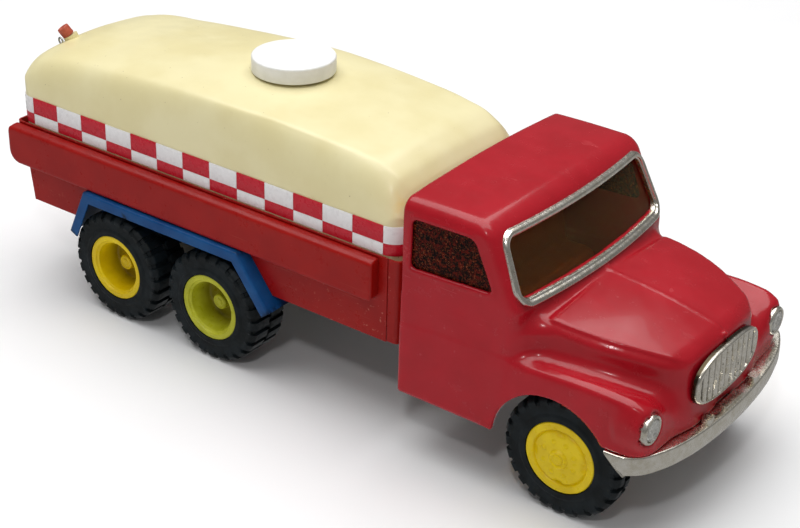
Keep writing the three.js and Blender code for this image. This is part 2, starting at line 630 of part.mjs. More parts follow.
function frontBumper() {
  // Half of the plan line, from the middle to the end.
  const line = new THREE.CatmullRomCurve3([
    [154.5, 0], [154.1, 15], [152.6, 28], [150.0, 38], [146.4, 45.2], [141.2, 49.6], [134.5, 51.2],
  ].map(([x, y]) => new THREE.Vector3(x, y, 0)));
  const half = line.getPoints(14);
  const whole = [...half.slice(1).reverse().map((p) => new THREE.Vector3(p.x, -p.y, 0)), ...half];
  const sections = whole.map((p, i) => {
    const a = whole[Math.max(0, i - 1)];
    const b = whole[Math.min(whole.length - 1, i + 1)];
    const n = new THREE.Vector2(b.y - a.y, a.x - b.x).normalize();
    const at = (depth, z) => [p.x - n.x * depth, p.y - n.y * depth, z];
    return [at(0, BUMPER.bottom), at(0, BUMPER.top), at(BUMPER.ledge, BUMPER.top),
      at(BUMPER.ledge, BUMPER.top - BUMPER.sheet), at(BUMPER.sheet, BUMPER.top - BUMPER.sheet),
      at(BUMPER.sheet, BUMPER.bottom)];
  });
  const slant = shapeOf([[120, 20], [143, 20], [143, 29], [134.4, 36.4], [134.4, 40], [120, 40]]);
  return loftOpen(sections).subtract(alongY(slant, -60, 60));
}

// A loft whose sections turn, so that its caps are drawn in their own planes.
function loftOpen(sections) {
  const count = sections[0].length;
  const index = [];
  for (let s = 0; s + 1 < sections.length; s += 1) {
    for (let i = 0; i < count; i += 1) {
      const j = (i + 1) % count;
      const [a, b, c, d] = [s * count + i, s * count + j, (s + 1) * count + j, (s + 1) * count + i];
      index.push(a, b, c, a, c, d);
    }
  }
  const first = [[0, 1, 5], [1, 4, 5], [1, 2, 3], [1, 3, 4]];
  const last = (sections.length - 1) * count;
  for (const [a, b, c] of first) {
    index.push(c, b, a);
    index.push(last + a, last + b, last + c);
  }
  const g = new THREE.BufferGeometry();
  g.setAttribute('position', new THREE.Float32BufferAttribute(sections.flat(2), 3));
  g.setIndex(index);
  return solid(g);
}
addSolid('front_bumper', frontBumper(), FINISH.chrome);

const aboutHeadlight = (profile) => solid(
  turned(profile, 16).rotateZ(-Math.PI / 2).translate(0, HEADLIGHT.y, HEADLIGHT.z));
addPair('headlight_bezel', aboutHeadlight([
  [4.9, 143.6], [HEADLIGHT.radius, 143.6], [HEADLIGHT.radius, 149.4], [5.6, 149.9], [4.9, 149.9],
  [4.9, 143.6],
]), FINISH.chrome);
addPair('headlight_lens', aboutHeadlight([
  [0, 146.4], [4.8, 146.4], [4.8, 150], [3.2, 150.9], [0, 151.4],
]), FINISH.clear);

// ---------------------------------------------------------------- screws under the chassis
for (const [place, x] of Object.entries(SCREW_X)) {
  const web = CHASSIS.top - CHASSIS.sheet;
  const length = place.startsWith('floor') ? 2.6 : 4.4;
  const profile = [[0, web - 1.9], [1.6, web - 1.8], [2.5, web - 0.9], [2.5, web - 0.1], [1.2, web - 0.1],
    [1.2, web + length], [0, web + length]];
  const screw = solid(turned(profile, 8).rotateX(Math.PI / 2).translate(x, 0, 0));
  addSolid(`screw_${place}`, screw, FINISH.steel);
}

// ---------------------------------------------------------------- wheels
// Profiles for the left-hand wheel: radius and distance from the truck's centre plane.
const REAR_HUB = [
  [0, 38.6], [1.6, 38.6], [1.6, 26.4], [3.3, 26.4], [3.3, 33.4], [10.8, 33.4], [10.8, 27.2], [12.3, 27.2],
  [12.3, 44.8], [RIM_RADIUS, 44.8], [RIM_RADIUS, 45.9], [10.4, 45.9], [9.6, 35], [3.3, 35],
  [3.1, 40.5], [0, 40.5],
];
const FRONT_HUB = [
  [0, 46.2], [1.6, 46.2], [1.6, 36.4], [3.3, 36.4], [3.3, 43.6], [10.8, 43.6], [10.8, 37.2], [12.3, 37.2],
  [12.3, 46.0], [RIM_RADIUS, 46.0], [RIM_RADIUS, 47.2], [10.4, 47.0], [3.6, 47.8], [3.2, 49.2],
  [0, 49.2],
];

function tyreProfile([inner, outer], flange) {
  return [
    [12.45, inner], [21, inner], [TYRE_RADIUS, inner + 2.4], [TYRE_RADIUS, outer - 2.4], [21, outer],
    [RIM_RADIUS + 0.15, outer], [RIM_RADIUS + 0.15, flange], [12.45, flange], [12.45, inner],
  ];
}

function addWheelset(name, x, hub, span, flange, axleEnd) {
  const wheelset = new THREE.Group();
  wheelset.position.set(x, 0, TYRE_RADIUS);
  truck.add(wheelset);
  const axle = solid(new THREE.CylinderGeometry(AXLE_RADIUS, AXLE_RADIUS, 2 * axleEnd, 16));
  add(`${name}_axle`, geometryOf(axle), FINISH.steel, wheelset);
  const hubShape = geometryOf(solid(turned(hub, 20)));
  const tyreShape = geometryOf(solid(turned(tyreProfile(span, flange), 24)));
  for (const [side, shape] of [['left', (g) => g], ['right', mirrored]]) {
    add(`${name}_hub_${side}`, shape(hubShape), FINISH.yellow, wheelset);
    add(`${name}_tyre_${side}`, shape(tyreShape), FINISH.rubber, wheelset);
  }
}
addWheelset('front', FRONT_AXLE_X, FRONT_HUB, FRONT_TYRE_SPAN, 45.9, 46);
addWheelset('middle', MIDDLE_AXLE_X, REAR_HUB, REAR_TYRE_SPAN, 44.7, 38.4);
addWheelset('rear', REAR_AXLE_X, REAR_HUB, REAR_TYRE_SPAN, 44.7, 38.4);

export default truck;
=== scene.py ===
"""Tin toy tanker truck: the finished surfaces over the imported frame.

Lengths are in millimetres in the frame's own axes, +X forward, +Y left and +Z up, and become
metres only where a mesh is made.
"""

import math

import bmesh
import bpy
import numpy as np
from mathutils import Matrix, Vector
from numpy.linalg import norm


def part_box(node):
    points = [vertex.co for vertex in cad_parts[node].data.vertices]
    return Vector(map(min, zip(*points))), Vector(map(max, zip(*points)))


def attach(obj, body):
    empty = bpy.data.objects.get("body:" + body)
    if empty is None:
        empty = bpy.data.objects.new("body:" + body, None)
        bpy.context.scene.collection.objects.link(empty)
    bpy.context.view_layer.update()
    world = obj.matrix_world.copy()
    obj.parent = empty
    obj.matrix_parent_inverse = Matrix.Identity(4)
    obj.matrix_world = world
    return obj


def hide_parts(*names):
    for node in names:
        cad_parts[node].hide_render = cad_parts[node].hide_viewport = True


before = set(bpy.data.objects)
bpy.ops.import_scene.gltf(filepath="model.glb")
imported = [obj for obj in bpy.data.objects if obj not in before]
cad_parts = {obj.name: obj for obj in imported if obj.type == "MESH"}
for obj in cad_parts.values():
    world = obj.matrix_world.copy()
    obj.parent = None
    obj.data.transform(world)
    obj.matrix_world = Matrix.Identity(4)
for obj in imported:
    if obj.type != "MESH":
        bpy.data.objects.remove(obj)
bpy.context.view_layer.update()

MM = 0.001


def node_box(name):
    """A CAD node's lowest and highest corners."""
    low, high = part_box(name)
    return np.array(low, float) / MM, np.array(high, float) / MM


# ---- sizes taken from the frame
TANK_LOW, TANK_HIGH = node_box("tank_shell")
BAND_LOW, BAND_HIGH = node_box("check_band")
SKIRT_LOW, SKIRT_HIGH = node_box("side_skirt_left")
APRON_LOW, APRON_HIGH = node_box("apron_left")
GUARD_LOW, GUARD_HIGH = node_box("mudguard_left")
CAP_LOW, CAP_HIGH = node_box("filler_cap")
NECK_LOW, NECK_HIGH = node_box("filler_neck")
CAB_LOW, CAB_HIGH = node_box("cab_shell")
BUMPER_LOW, BUMPER_HIGH = node_box("front_bumper")
SEAT_LOW, SEAT_HIGH = node_box("seat_bench")
GRILLE_BACK, LAMP_BACK, LENS_BACK = (
    node_box(name)[0][0] for name in ("grille", "headlight_bezel_left", "headlight_lens_left"))
SIDES = (("left", 1), ("right", -1))

SHEET = 0.8
SHELL = 1.4
TANK_WALL = 1.2
CAP_X = (CAP_LOW[0] + CAP_HIGH[0]) / 2

# Half an angle above this counts as no corner, and an arc takes up this share of a side at most.
STRAIGHT, ARC_SHARE = 1.56, 0.49


# ---- mesh helpers
def rounded(points, radius, steps=5, closed=False):
    """The line through the points, each corner turned by an arc. One radius, or one for each."""
    points = [np.array(p, float) for p in points]
    radii = radius if hasattr(radius, "__len__") else [radius] * len(points)
    line = []
    for i, corner in enumerate(points):
        if radii[i] <= 0 or (not closed and i in (0, len(points) - 1)):
            line.append(corner)
            continue
        back = points[i - 1] - corner
        ahead = points[(i + 1) % len(points)] - corner
        reach = ARC_SHARE * min(norm(back), norm(ahead))
        back, ahead = back / norm(back), ahead / norm(ahead)
        half = math.acos(float(np.clip(back @ ahead, -1, 1))) / 2
        if half > STRAIGHT:
            line.append(corner)
            continue
        cut = min(radii[i] / math.tan(half), reach)
        centre = corner + (back + ahead) / norm(back + ahead) * cut / math.cos(half)
        start, end = corner + back * cut - centre, corner + ahead * cut - centre
        turn = math.pi - 2 * half
        for k in range(steps + 1):
            t = k / steps
            arc = math.sin((1 - t) * turn) * start + math.sin(t * turn) * end
            line.append(centre + arc / math.sin(turn))
    return np.array(line)


def resampled(line, step, closed=False):
    """The same line with points no further apart than a step."""
    line = list(line) + ([line[0]] if closed else [])
    out = []
    for a, b in zip(line[:-1], line[1:]):
        count = max(1, math.ceil(norm(b - a) / step))
        out.extend(a + (b - a) * k / count for k in range(count))
    return np.array(out if closed else out + [line[-1]])


def unit(vectors):
    """Each row brought to length 1."""
    return vectors / norm(vectors, axis=1)[:, None]


def to_left(vectors):
    """Each row turned a quarter to the left."""
    return np.stack([-vectors[:, 1], vectors[:, 0]], -1)


def run_along(line):
    """The length of a line up to each of its points."""
    return np.concatenate([[0], np.cumsum(norm(np.diff(line, axis=0), axis=1))])


def tapered(top_half, top, bottom_half, bottom):
    """The corners of a window that is symmetrical from left to right."""
    return [(-top_half, top), (top_half, top), (bottom_half, bottom), (-bottom_half, bottom)]


def smooth_table(rows, low, high, steps=600):
    """A function of x through table rows (x, value), as a cubic with smooth slopes."""
    xs, vs = np.array(rows, float).T
    slopes = np.gradient(vs, xs)
    x = np.linspace(low, high, steps)
    k = np.clip(np.searchsorted(xs, x) - 1, 0, len(xs) - 2)
    width = xs[k + 1] - xs[k]
    t = np.clip((x - xs[k]) / width, 0, 1)
    a = (1 + 2 * t) * (1 - t) ** 2 * vs[k] + t * (1 - t) ** 2 * width * slopes[k]
    b = t * t * (3 - 2 * t) * vs[k + 1] + t * t * (t - 1) * width * slopes[k + 1]
    return lambda at: np.interp(at, x, a + b)


def net_faces(rows, columns, close_rows=False, close_columns=True):
    """The quads of a net of points in rows and columns."""
    i, j = np.meshgrid(np.arange(rows if close_rows else rows - 1),
                       np.arange(columns if close_columns else columns - 1), indexing="ij")
    ahead, beside = (i + 1) % rows, (j + 1) % columns
    corners = [i * columns + j, ahead * columns + j, ahead * columns + beside, i * columns + beside]
    return np.stack(corners, -1).reshape(-1, 4).tolist()


def loft(sections, ring=False):
    """Points and faces through closed sections with equal counts. Open lofts get end caps."""
    sections = np.asarray(sections, float)
    rows, columns = sections.shape[:2]
    faces = net_faces(rows, columns, close_rows=ring)
    if not ring:
        faces += [list(range(columns)), list(range((rows - 1) * columns, rows * columns))]
    return sections.reshape(-1, 3), faces


def turned(profile, segments, origin, axis, closed=True):
    """Points and faces of a profile of (radius, distance along the axis) turned about the axis."""
    along = Vector(axis).normalized()
    across = along.orthogonal().normalized()
    frame_of = [np.array(v) for v in (across, along.cross(across), along)]
    angles = np.linspace(0, 2 * math.pi, segments, endpoint=False)
    radial = np.cos(angles)[:, None] * frame_of[0] + np.sin(angles)[:, None] * frame_of[1]
    profile = np.asarray(profile, float)
    points = (np.array(origin, float) + radial[:, None, :] * profile[None, :, :1]
              + frame_of[2] * profile[None, :, 1:])
    return points.reshape(-1, 3), net_faces(segments, len(profile), True, closed)


def extruded(outline, place, low, high):
    """A flat outline carried from low to high. place(a, b, depth) gives a point."""
    near = [place(a, b, low) for a, b in outline]
    far = [place(a, b, high) for a, b in outline]
    return loft([near, far])


def along_x(a, b, depth):
    """A point of an outline seen from the front, at a depth along X."""
    return depth, a, b


def along_y(a, b, depth):
    """A point of an outline seen from the side, at a depth along Y."""
    return a, depth, b


def relief(outline, rings, height, back, place):
    """A face inside an outline, raised by a height at each point and closed by a flat back.

    rings holds shares of the way from the middle, 0, to the rim, 1. height(a, b, share) gives
    the height there, and place(a, b, height) gives the point.
    """
    shares = np.asarray(rings, float)
    rim = np.asarray(outline, float)
    a, b = shares[:, None] * rim[None, :, 0], shares[:, None] * rim[None, :, 1]
    h = height(a, b, np.broadcast_to(shares[:, None], a.shape))
    rows = [place(a[k], b[k], h[k]) for k in range(len(shares))]
    rows.append(place(rim[:, 0], rim[:, 1], np.full(len(rim), back)))
    rows.append(place(rim[:, 0] * 0, rim[:, 1] * 0, np.full(len(rim), back)))
    rows = np.array(rows)
    return rows.reshape(-1, 3), net_faces(len(rows), len(rim))


def piece(name, form, finish, body="truck_body", stands_for=(), sharp=38, kinds=None):
    """An object from points in millimetres and faces, riding on a body."""
    points, faces = form
    mesh = bpy.data.meshes.new(name)
    mesh.from_pydata((np.asarray(points, float) * MM).tolist(), [], faces)
    for material in finish if isinstance(finish, (list, tuple)) else [finish]:
        mesh.materials.append(material)
    if kinds is not None:
        mesh.polygons.foreach_set("material_index", kinds)
    net = bmesh.new()
    net.from_mesh(mesh)
    bmesh.ops.remove_doubles(net, verts=net.verts, dist=1e-6)
    bmesh.ops.recalc_face_normals(net, faces=net.faces)
    net.to_mesh(mesh)
    net.free()
    if sharp is not None:
        mesh.shade_smooth()
        mesh.set_sharp_from_angle(angle=math.radians(sharp))
    thing = bpy.data.objects.new(name, mesh)
    bpy.context.collection.objects.link(thing)
    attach(thing, body)
    if stands_for:
        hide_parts(*([stands_for] if isinstance(stands_for, str) else stands_for))
    return thing


def bevelled(name, form, finish, stands_for, width, segments=3):
    """A piece of the truck's body with its sharp edges rounded to this width."""
    thing = piece(name, form, finish, stands_for=stands_for, sharp=None)
    thing.data.shade_smooth()
    bevel = thing.modifiers.new("rounded_edges", "BEVEL")
    bevel.width = width * MM
    bevel.segments = segments
    bevel.limit_method = "ANGLE"
    bevel.angle_limit = math.radians(28)
    bevel.harden_normals = True


# ---- solids given by a distance
def joined(a, b, radius):
    """The union of two distances, with a fillet of this radius between them."""
    u, v = np.maximum(radius - a, 0), np.maximum(radius - b, 0)
    return np.maximum(radius, np.minimum(a, b)) - np.hypot(u, v)


def trimmed(a, b, radius):
    """Where both distances are negative, with the edge between them rounded."""
    u, v = np.maximum(radius + a, 0), np.maximum(radius + b, 0)
    return np.minimum(-radius, np.maximum(a, b)) + np.hypot(u, v)


def surface_of(distance, low, high, pitch):
    """Points and quads where a distance is zero: one point to a grid cell, moved onto it."""
    low, high = np.array(low, float), np.array(high, float)
    shape = np.ceil((high - low) / pitch).astype(int) + 1
    x, y, z = (low[k] + pitch * np.arange(shape[k]) for k in range(3))
    values = np.empty(shape)
    for i, at in enumerate(x):
        yy, zz = np.meshgrid(y, z, indexing="ij")
        values[i] = distance(np.full(yy.shape, at), yy, zz)
    cells = shape - 1
    total, number, quads = np.zeros((cells.prod(), 3)), np.zeros(cells.prod()), []
    for axis in range(3):
        a = np.moveaxis(values, axis, 0)[:-1]
        b = np.moveaxis(values, axis, 0)[1:]
        found = np.argwhere((a < 0) != (b < 0))
        a, b = a[tuple(found.T)], b[tuple(found.T)]
        others = [k for k in range(3) if k != axis]
        index = np.empty_like(found)
        index[:, axis] = found[:, 0]
        index[:, others[0]], index[:, others[1]] = found[:, 1], found[:, 2]
        inner = (index[:, others] > 0).all(1) & (index[:, others] < cells[others]).all(1)
        index, a, b = index[inner], a[inner], b[inner]
        crossing = low + pitch * index
        crossing[:, axis] += pitch * a / (a - b)
        around = []
        for u, v in ((0, 0), (1, 0), (1, 1), (0, 1)):
            cell = index.copy()
            cell[:, others[0]] -= u
            cell[:, others[1]] -= v
            flat = np.ravel_multi_index(tuple(cell.T), tuple(cells))
            np.add.at(total, flat, crossing)
            np.add.at(number, flat, 1)
            around.append(flat)
        quads.append(np.stack(around, -1))
    quads = np.concatenate(quads)
    used, faces = np.unique(quads, return_inverse=True)
    points = total[used] / number[used][:, None]
    step = 0.02 * pitch
    for _ in range(4):
        here = distance(*points.T)
        slope = [(distance(*(points + step * way).T) - here) / step for way in np.eye(3)]
        slope = np.stack(slope, -1)
        move = here[:, None] * slope / np.maximum((slope ** 2).sum(1, keepdims=True), 0.2)
        length = norm(move, axis=1, keepdims=True)
        points = points - move * np.minimum(1, 0.5 * pitch / np.maximum(length, 1e-9))
    return points, faces.reshape(-1, 4).tolist()


# ---- materials
def srgb(r, g, b):
    """A colour given as it shows on a screen, 0 to 255, as linear light."""
    def linear(v):
        v /= 255
        return v / 12.92 if v <= 0.04045 else ((v + 0.055) / 1.055) ** 2.4
    return (linear(r), linear(g), linear(b), 1)


class Recipe:
    """One material's node tree. Lengths are in millimetres of the object's own space."""

    def __init__(self, name, **values):
        self.material = bpy.data.materials.new(name)
        self.material.use_nodes = True
        self.tree = self.material.node_tree
        self.shader = self.tree.nodes["Principled BSDF"]
        for socket, value in values.items():
            self.shader.inputs[socket.replace("_", " ")].default_value = value
        self.place = self.node("ShaderNodeTexCoord").outputs["Object"]
        self.height = None

    def node(self, kind, inputs=(), **settings):
        made = self.tree.nodes.new(kind)
        for key, value in settings.items():
            setattr(made, key, value)
        for key, value in inputs:
            if isinstance(value, bpy.types.NodeSocket):
                self.tree.links.new(value, made.inputs[key])
            else:
                made.inputs[key].default_value = value
        return made

    def noise(self, size, detail=3, rough=0.5, stretch=(1, 1, 1), shift=0.0):
        """Noise with features this many millimetres across, longer along a stretched axis."""
        spot = self.node("ShaderNodeMapping", [
            ("Vector", self.place), ("Scale", [1 / s for s in stretch]),
            ("Location", (shift * MM, shift * MM, 0))])
        return self.node("ShaderNodeTexNoise", [
            ("Vector", spot.outputs[0]), ("Scale", 1 / (size * MM)), ("Detail", detail),
            ("Roughness", rough)]).outputs[0]

    def tone(self, size, low, high, to_low=0.0, to_high=1.0, **look):
        """Noise of this size, its values from low to high brought to another range."""
        return self.between(self.noise(size, **look), low, high, to_low, to_high)

    def part(self, axis):
        """The object-space coordinate along an axis, in millimetres."""
        split = self.node("ShaderNodeSeparateXYZ", [("Vector", self.place)])
        return self.math("MULTIPLY", split.outputs["XYZ".index(axis)], 1 / MM)

    def math(self, operation, a, b=0.0):
        return self.node("ShaderNodeMath", [(0, a), (1, b)], operation=operation).outputs[0]

    def times(self, a, b):
        return self.math("MULTIPLY", a, b)

    def plus(self, a, b):
        return self.math("ADD", a, b)

    def higher(self, a, b):
        return self.math("MAXIMUM", a, b)

    def between(self, value, low, high, to_low=0.0, to_high=1.0):
        return self.node("ShaderNodeMapRange", [
            ("Value", value), ("From Min", low), ("From Max", high), ("To Min", to_low),
            ("To Max", to_high)], interpolation_type="SMOOTHSTEP").outputs[0]

    def mix(self, a, b, share):
        """Two colours mixed, each a socket or a screen colour."""
        a, b = (srgb(*colour) if isinstance(colour, tuple) else colour for colour in (a, b))
        return self.node("ShaderNodeMix", [(0, share), (6, a), (7, b)], data_type="RGBA").outputs[2]

    def convex(self, low, high):
        """How far a point lies on an outer edge."""
        bulge = self.node("ShaderNodeNewGeometry").outputs["Pointiness"]
        return self.between(bulge, low, high)

    def set(self, socket, value):
        self.tree.links.new(value, self.shader.inputs[socket])

    def bump(self, height, depth, strength=1.0):
        """Adds relief of about this depth in millimetres."""
        made = self.node("ShaderNodeBump", [("Height", height), ("Distance", depth * MM),
                                            ("Strength", strength)])
        if self.height is not None:
            self.tree.links.new(self.height, made.inputs["Normal"])
        self.height = made.outputs[0]
        self.set("Normal", self.height)

    def grain(self, size, depth, strength, **look):
        self.bump(self.noise(size, **look), depth, strength)

    def paint(self, colour):
        self.set("Base Color", colour)

    def sheen(self, roughness):
        self.set("Roughness", roughness)


def moulded_red():
    """The cab's moulded plastic: deep gloss, faint ripple, haze and a few fine scuffs."""
    r = Recipe("moulded_red", Specular_IOR_Level=0.35, Coat_Weight=0.15, Coat_Roughness=0.04,
               IOR=1.5)
    cloud = r.noise(26, detail=4, rough=0.6)
    base = r.mix((166, 18, 31), (176, 22, 36), r.between(cloud, 0.35, 0.65))
    scuff = r.tone(1.1, 0.685, 0.72, detail=2, stretch=(14, 9, 1))
    patch = r.tone(19, 0.5, 0.62, shift=40)
    mark = r.times(scuff, patch)
    r.paint(r.mix(base, (222, 96, 100), r.times(mark, 0.12)))
    haze = r.tone(7, 0.3, 0.75, 0.16, 0.3, detail=5, rough=0.7, shift=11)
    r.sheen(r.plus(haze, r.times(mark, 0.08)))
    r.grain(9, 0.05, 0.5, detail=2)
    r.grain(0.6, 0.006, 0.4, detail=2)
    return r.material


def enamel(name, low, high, edge, chips=0.55, rough=(0.26, 0.42)):
    """Enamel on pressed tin: uneven sheen, long fine scratches, and chips along the folds."""
    r = Recipe(name, Specular_IOR_Level=0.22, Coat_Weight=0.08, Coat_Roughness=0.1, IOR=1.5)
    cloud = r.noise(18, detail=5, rough=0.6)
    base = r.mix(low, high, r.between(cloud, 0.3, 0.7))
    along = r.tone(0.9, 0.66, 0.7, detail=3, stretch=(40, 1, 1))
    across = r.tone(0.8, 0.7, 0.74, detail=3, stretch=(1, 1, 9), shift=23)
    scratch = r.times(r.higher(along, across), r.tone(22, 0.45, 0.6, shift=7))
    worn = r.times(r.convex(0.52, 0.6), r.tone(1.6, chips, chips + 0.06, detail=4, rough=0.7))
    speck = r.tone(1.3, 0.76, 0.79, detail=3, shift=61)
    paint = r.mix(base, edge, r.times(scratch, 0.2))
    r.paint(r.mix(paint, edge, r.higher(worn, r.times(speck, 0.5))))
    sheen = r.tone(5, 0.3, 0.75, *rough, detail=5, rough=0.7, shift=3)
    r.sheen(r.plus(sheen, r.times(scratch, 0.25)))
    r.grain(7, 0.06, 0.5, detail=3)
    r.bump(r.times(r.higher(worn, speck), -1.0), 0.04, 0.6)
    return r.material


def cream_shell():
    """The tank: satin cream plastic, yellowed at its front corners, with small stains."""
    r = Recipe("cream_shell", Specular_IOR_Level=0.5, Coat_Weight=0.2, Coat_Roughness=0.18,
               IOR=1.48)
    cloud = r.noise(34, detail=4, rough=0.55)
    base = r.mix((233, 221, 168), (240, 230, 182), r.between(cloud, 0.35, 0.65))
    dirt = r.tone(5, 0.62, 0.8, detail=5, rough=0.75, shift=17)
    base = r.mix(base, (216, 200, 150), r.times(dirt, 0.35))
    speck = r.tone(1.5, 0.75, 0.78, detail=2, shift=5)
    base = r.mix(base, (176, 154, 108), r.times(speck, 0.7))
    front = r.between(r.part("X"), TANK_HIGH[0] - 7, TANK_HIGH[0] - 2)
    side = r.between(r.math("ABSOLUTE", r.part("Y")), TANK_HIGH[1] - 9, TANK_HIGH[1] - 4)
    upper = r.between(r.part("Z"), TANK_HIGH[2] - 26, TANK_HIGH[2] - 14)
    age = r.times(r.times(front, side), r.times(upper, r.tone(4, 0.35, 0.6, detail=4)))
    r.paint(r.mix(base, (240, 205, 96), r.times(age, 0.8)))
    r.sheen(r.tone(6, 0.3, 0.75, 0.3, 0.46, detail=5, rough=0.7, shift=29))
    r.grain(14, 0.08, 0.5, detail=2)
    r.grain(0.8, 0.008, 0.5, detail=3)
    return r.material


def white_cap():
    """The filler cap: matt white plastic."""
    r = Recipe("white_cap", Specular_IOR_Level=0.45, IOR=1.48)
    r.paint(r.mix((236, 236, 234), (247, 247, 246), r.tone(5, 0.3, 0.7, detail=4)))
    r.sheen(r.tone(2, 0.3, 0.7, 0.42, 0.56, detail=4))
    r.grain(0.7, 0.012, 0.5, detail=3)
    return r.material


def tape(name, colour, shade):
    """Glossy adhesive tape, a little creased and rubbed."""
    r = Recipe(name, Specular_IOR_Level=0.5, IOR=1.46)
    rubbed = r.tone(3, 0.5, 0.75, detail=5, rough=0.7)
    r.paint(r.mix(colour, shade, r.times(rubbed, 0.5)))
    r.sheen(r.tone(2.5, 0.3, 0.7, 0.2, 0.36, detail=4, shift=9))
    r.grain(2.2, 0.05, 0.45, detail=3, stretch=(1, 1, 3))
    return r.material


def wheel_plastic(name, low, high):
    """The hubs' moulded plastic with grime, and painted shade that darkens it deep in the dish."""
    r = Recipe(name, Specular_IOR_Level=0.3, Coat_Weight=0.05, Coat_Roughness=0.15, IOR=1.5)
    grime = r.tone(2.2, 0.6, 0.78, detail=5, rough=0.7)
    colour = r.mix(low, high, r.tone(8, 0.35, 0.65, detail=3))
    # Painted shade: the colour darkens deep in the dish, towards the wheel's inner side.
    colour = r.mix((112, 92, 6), colour, r.between(r.math("ABSOLUTE", r.part("Y")), 33, 43, 0.2, 1))
    r.paint(r.mix(colour, (120, 98, 24), r.times(grime, 0.35)))
    r.sheen(r.tone(2, 0.3, 0.7, 0.26, 0.42, detail=4, shift=4))
    r.grain(1.4, 0.02, 0.5, detail=3)
    return r.material


def tyre_rubber():
    """Blue-black rubber with dust in the tread."""
    r = Recipe("tyre_rubber", Specular_IOR_Level=0.25, IOR=1.5)
    dust = r.tone(2.4, 0.5, 0.78, detail=6, rough=0.75)
    base = r.mix((14, 20, 22), (24, 32, 36), r.tone(6, 0.35, 0.65, detail=3))
    r.paint(r.mix(base, (74, 80, 80), r.times(dust, 0.2)))
    r.sheen(r.tone(1.2, 0.3, 0.7, 0.42, 0.62, detail=4))
    r.grain(0.5, 0.03, 0.5, detail=4)
    return r.material


def worn_plating(name, groove=None):
    """Bright plating, grey and pitted, most along its edges. groove: a range along X behind which it
    turns dark, deep in the grille's grooves.
    """
    r = Recipe(name, Metallic=1.0)
    pits = r.tone(0.9, 0.73, 0.77, detail=5, rough=0.75)
    edge = r.times(r.convex(0.51, 0.56), r.tone(1.3, 0.57, 0.63, detail=4, rough=0.7, shift=9))
    bad = r.higher(pits, r.times(edge, 0.75))
    stain = r.tone(3, 0.35, 0.7, detail=5, rough=0.65, shift=31)
    base = r.mix((246, 241, 230), (226, 219, 202), stain)
    if groove:
        # Darker deep in the grooves: the base turns dark behind the groove range along X.
        base = r.mix((70, 62, 48), base, r.between(r.part("X"), *groove))
    r.paint(r.mix(base, (92, 82, 68), r.times(bad, 0.8)))
    rough = r.tone(1.6, 0.3, 0.7, 0.16, 0.3, detail=5, rough=0.7, shift=2)
    r.sheen(r.plus(rough, r.times(bad, 0.3)))
    r.grain(2.4, 0.012, 0.5, detail=2)
    r.bump(r.times(bad, -1.0), 0.02, 0.5)
    return r.material


def zinc_steel():
    """Dull plated sheet and wire, brushed along its length."""
    r = Recipe("zinc_steel", Metallic=1.0)
    brushed = r.noise(0.6, detail=3, stretch=(30, 1, 1))
    r.paint(r.mix((150, 150, 148), (182, 181, 176), r.tone(5, 0.35, 0.65, detail=5)))
    r.sheen(r.between(brushed, 0.3, 0.7, 0.32, 0.5))
    r.bump(brushed, 0.01, 0.5)
    return r.material


def amber_sheet():
    """The windscreen's clear amber plastic."""
    r = Recipe("amber_sheet", Transmission_Weight=0.98, IOR=1.15, Specular_IOR_Level=0.5)
    r.paint(r.mix((244, 216, 152), (232, 202, 134), r.noise(9, detail=3)))
    r.sheen(r.tone(3, 0.3, 0.7, 0.02, 0.07, detail=4))
    r.grain(12, 0.05, 0.4, detail=2)
    return r.material


def speckled_pane(name, least, most):
    """A side window: amber with dark flecks of painted shade for the unlit cab behind it, letting
    least to most of the light through.
    """
    r = Recipe(name, Specular_IOR_Level=0.3, Coat_Weight=0.1, Coat_Roughness=0.06, IOR=1.2)
    grain = r.noise(0.8, detail=5, rough=0.8)
    patch = r.tone(7, 0.3, 0.7, detail=3, shift=8)
    clear = r.times(r.between(grain, 0.52, 0.62), r.between(patch, 0, 1, least, most))
    # Painted shade: the dark reds stand for the cab's unlit red inside, seen through the pane.
    unlit_interior_red = r.tone(1.1, 0.48, 0.6, detail=4, rough=0.7, shift=44)
    dark = r.mix((12, 4, 4), (96, 20, 10), r.times(unlit_interior_red, 0.8))
    r.paint(r.mix(dark, (188, 96, 44), clear))
    r.set("Transmission Weight", clear)
    r.sheen(r.between(grain, 0.3, 0.7, 0.1, 0.3))
    r.bump(grain, 0.03, 0.4)
    return r.material


def clear_lens():
    """The headlights' clear plastic."""
    r = Recipe("clear_lens", Transmission_Weight=0.55, IOR=1.45, Specular_IOR_Level=0.6)
    r.paint(r.mix((232, 232, 228), (206, 204, 196), r.noise(1.5, detail=4)))
    r.sheen(r.tone(1.0, 0.3, 0.7, 0.08, 0.22, detail=4))
    r.grain(0.9, 0.04, 0.6, detail=3)
    return r.material


def plain(name, low, high, rough, size=4.0):
    """A matt surface with an uneven colour and a fine grain."""
    r = Recipe(name, Specular_IOR_Level=0.4)
    r.paint(r.mix(low, high, r.tone(size, 0.3, 0.7, detail=5, rough=0.65)))
    r.sheen(r.tone(size / 2, 0.3, 0.7, rough - 0.07, rough + 0.07, detail=4))
    r.grain(size / 5, 0.03, 0.5, detail=4)
    return r.material


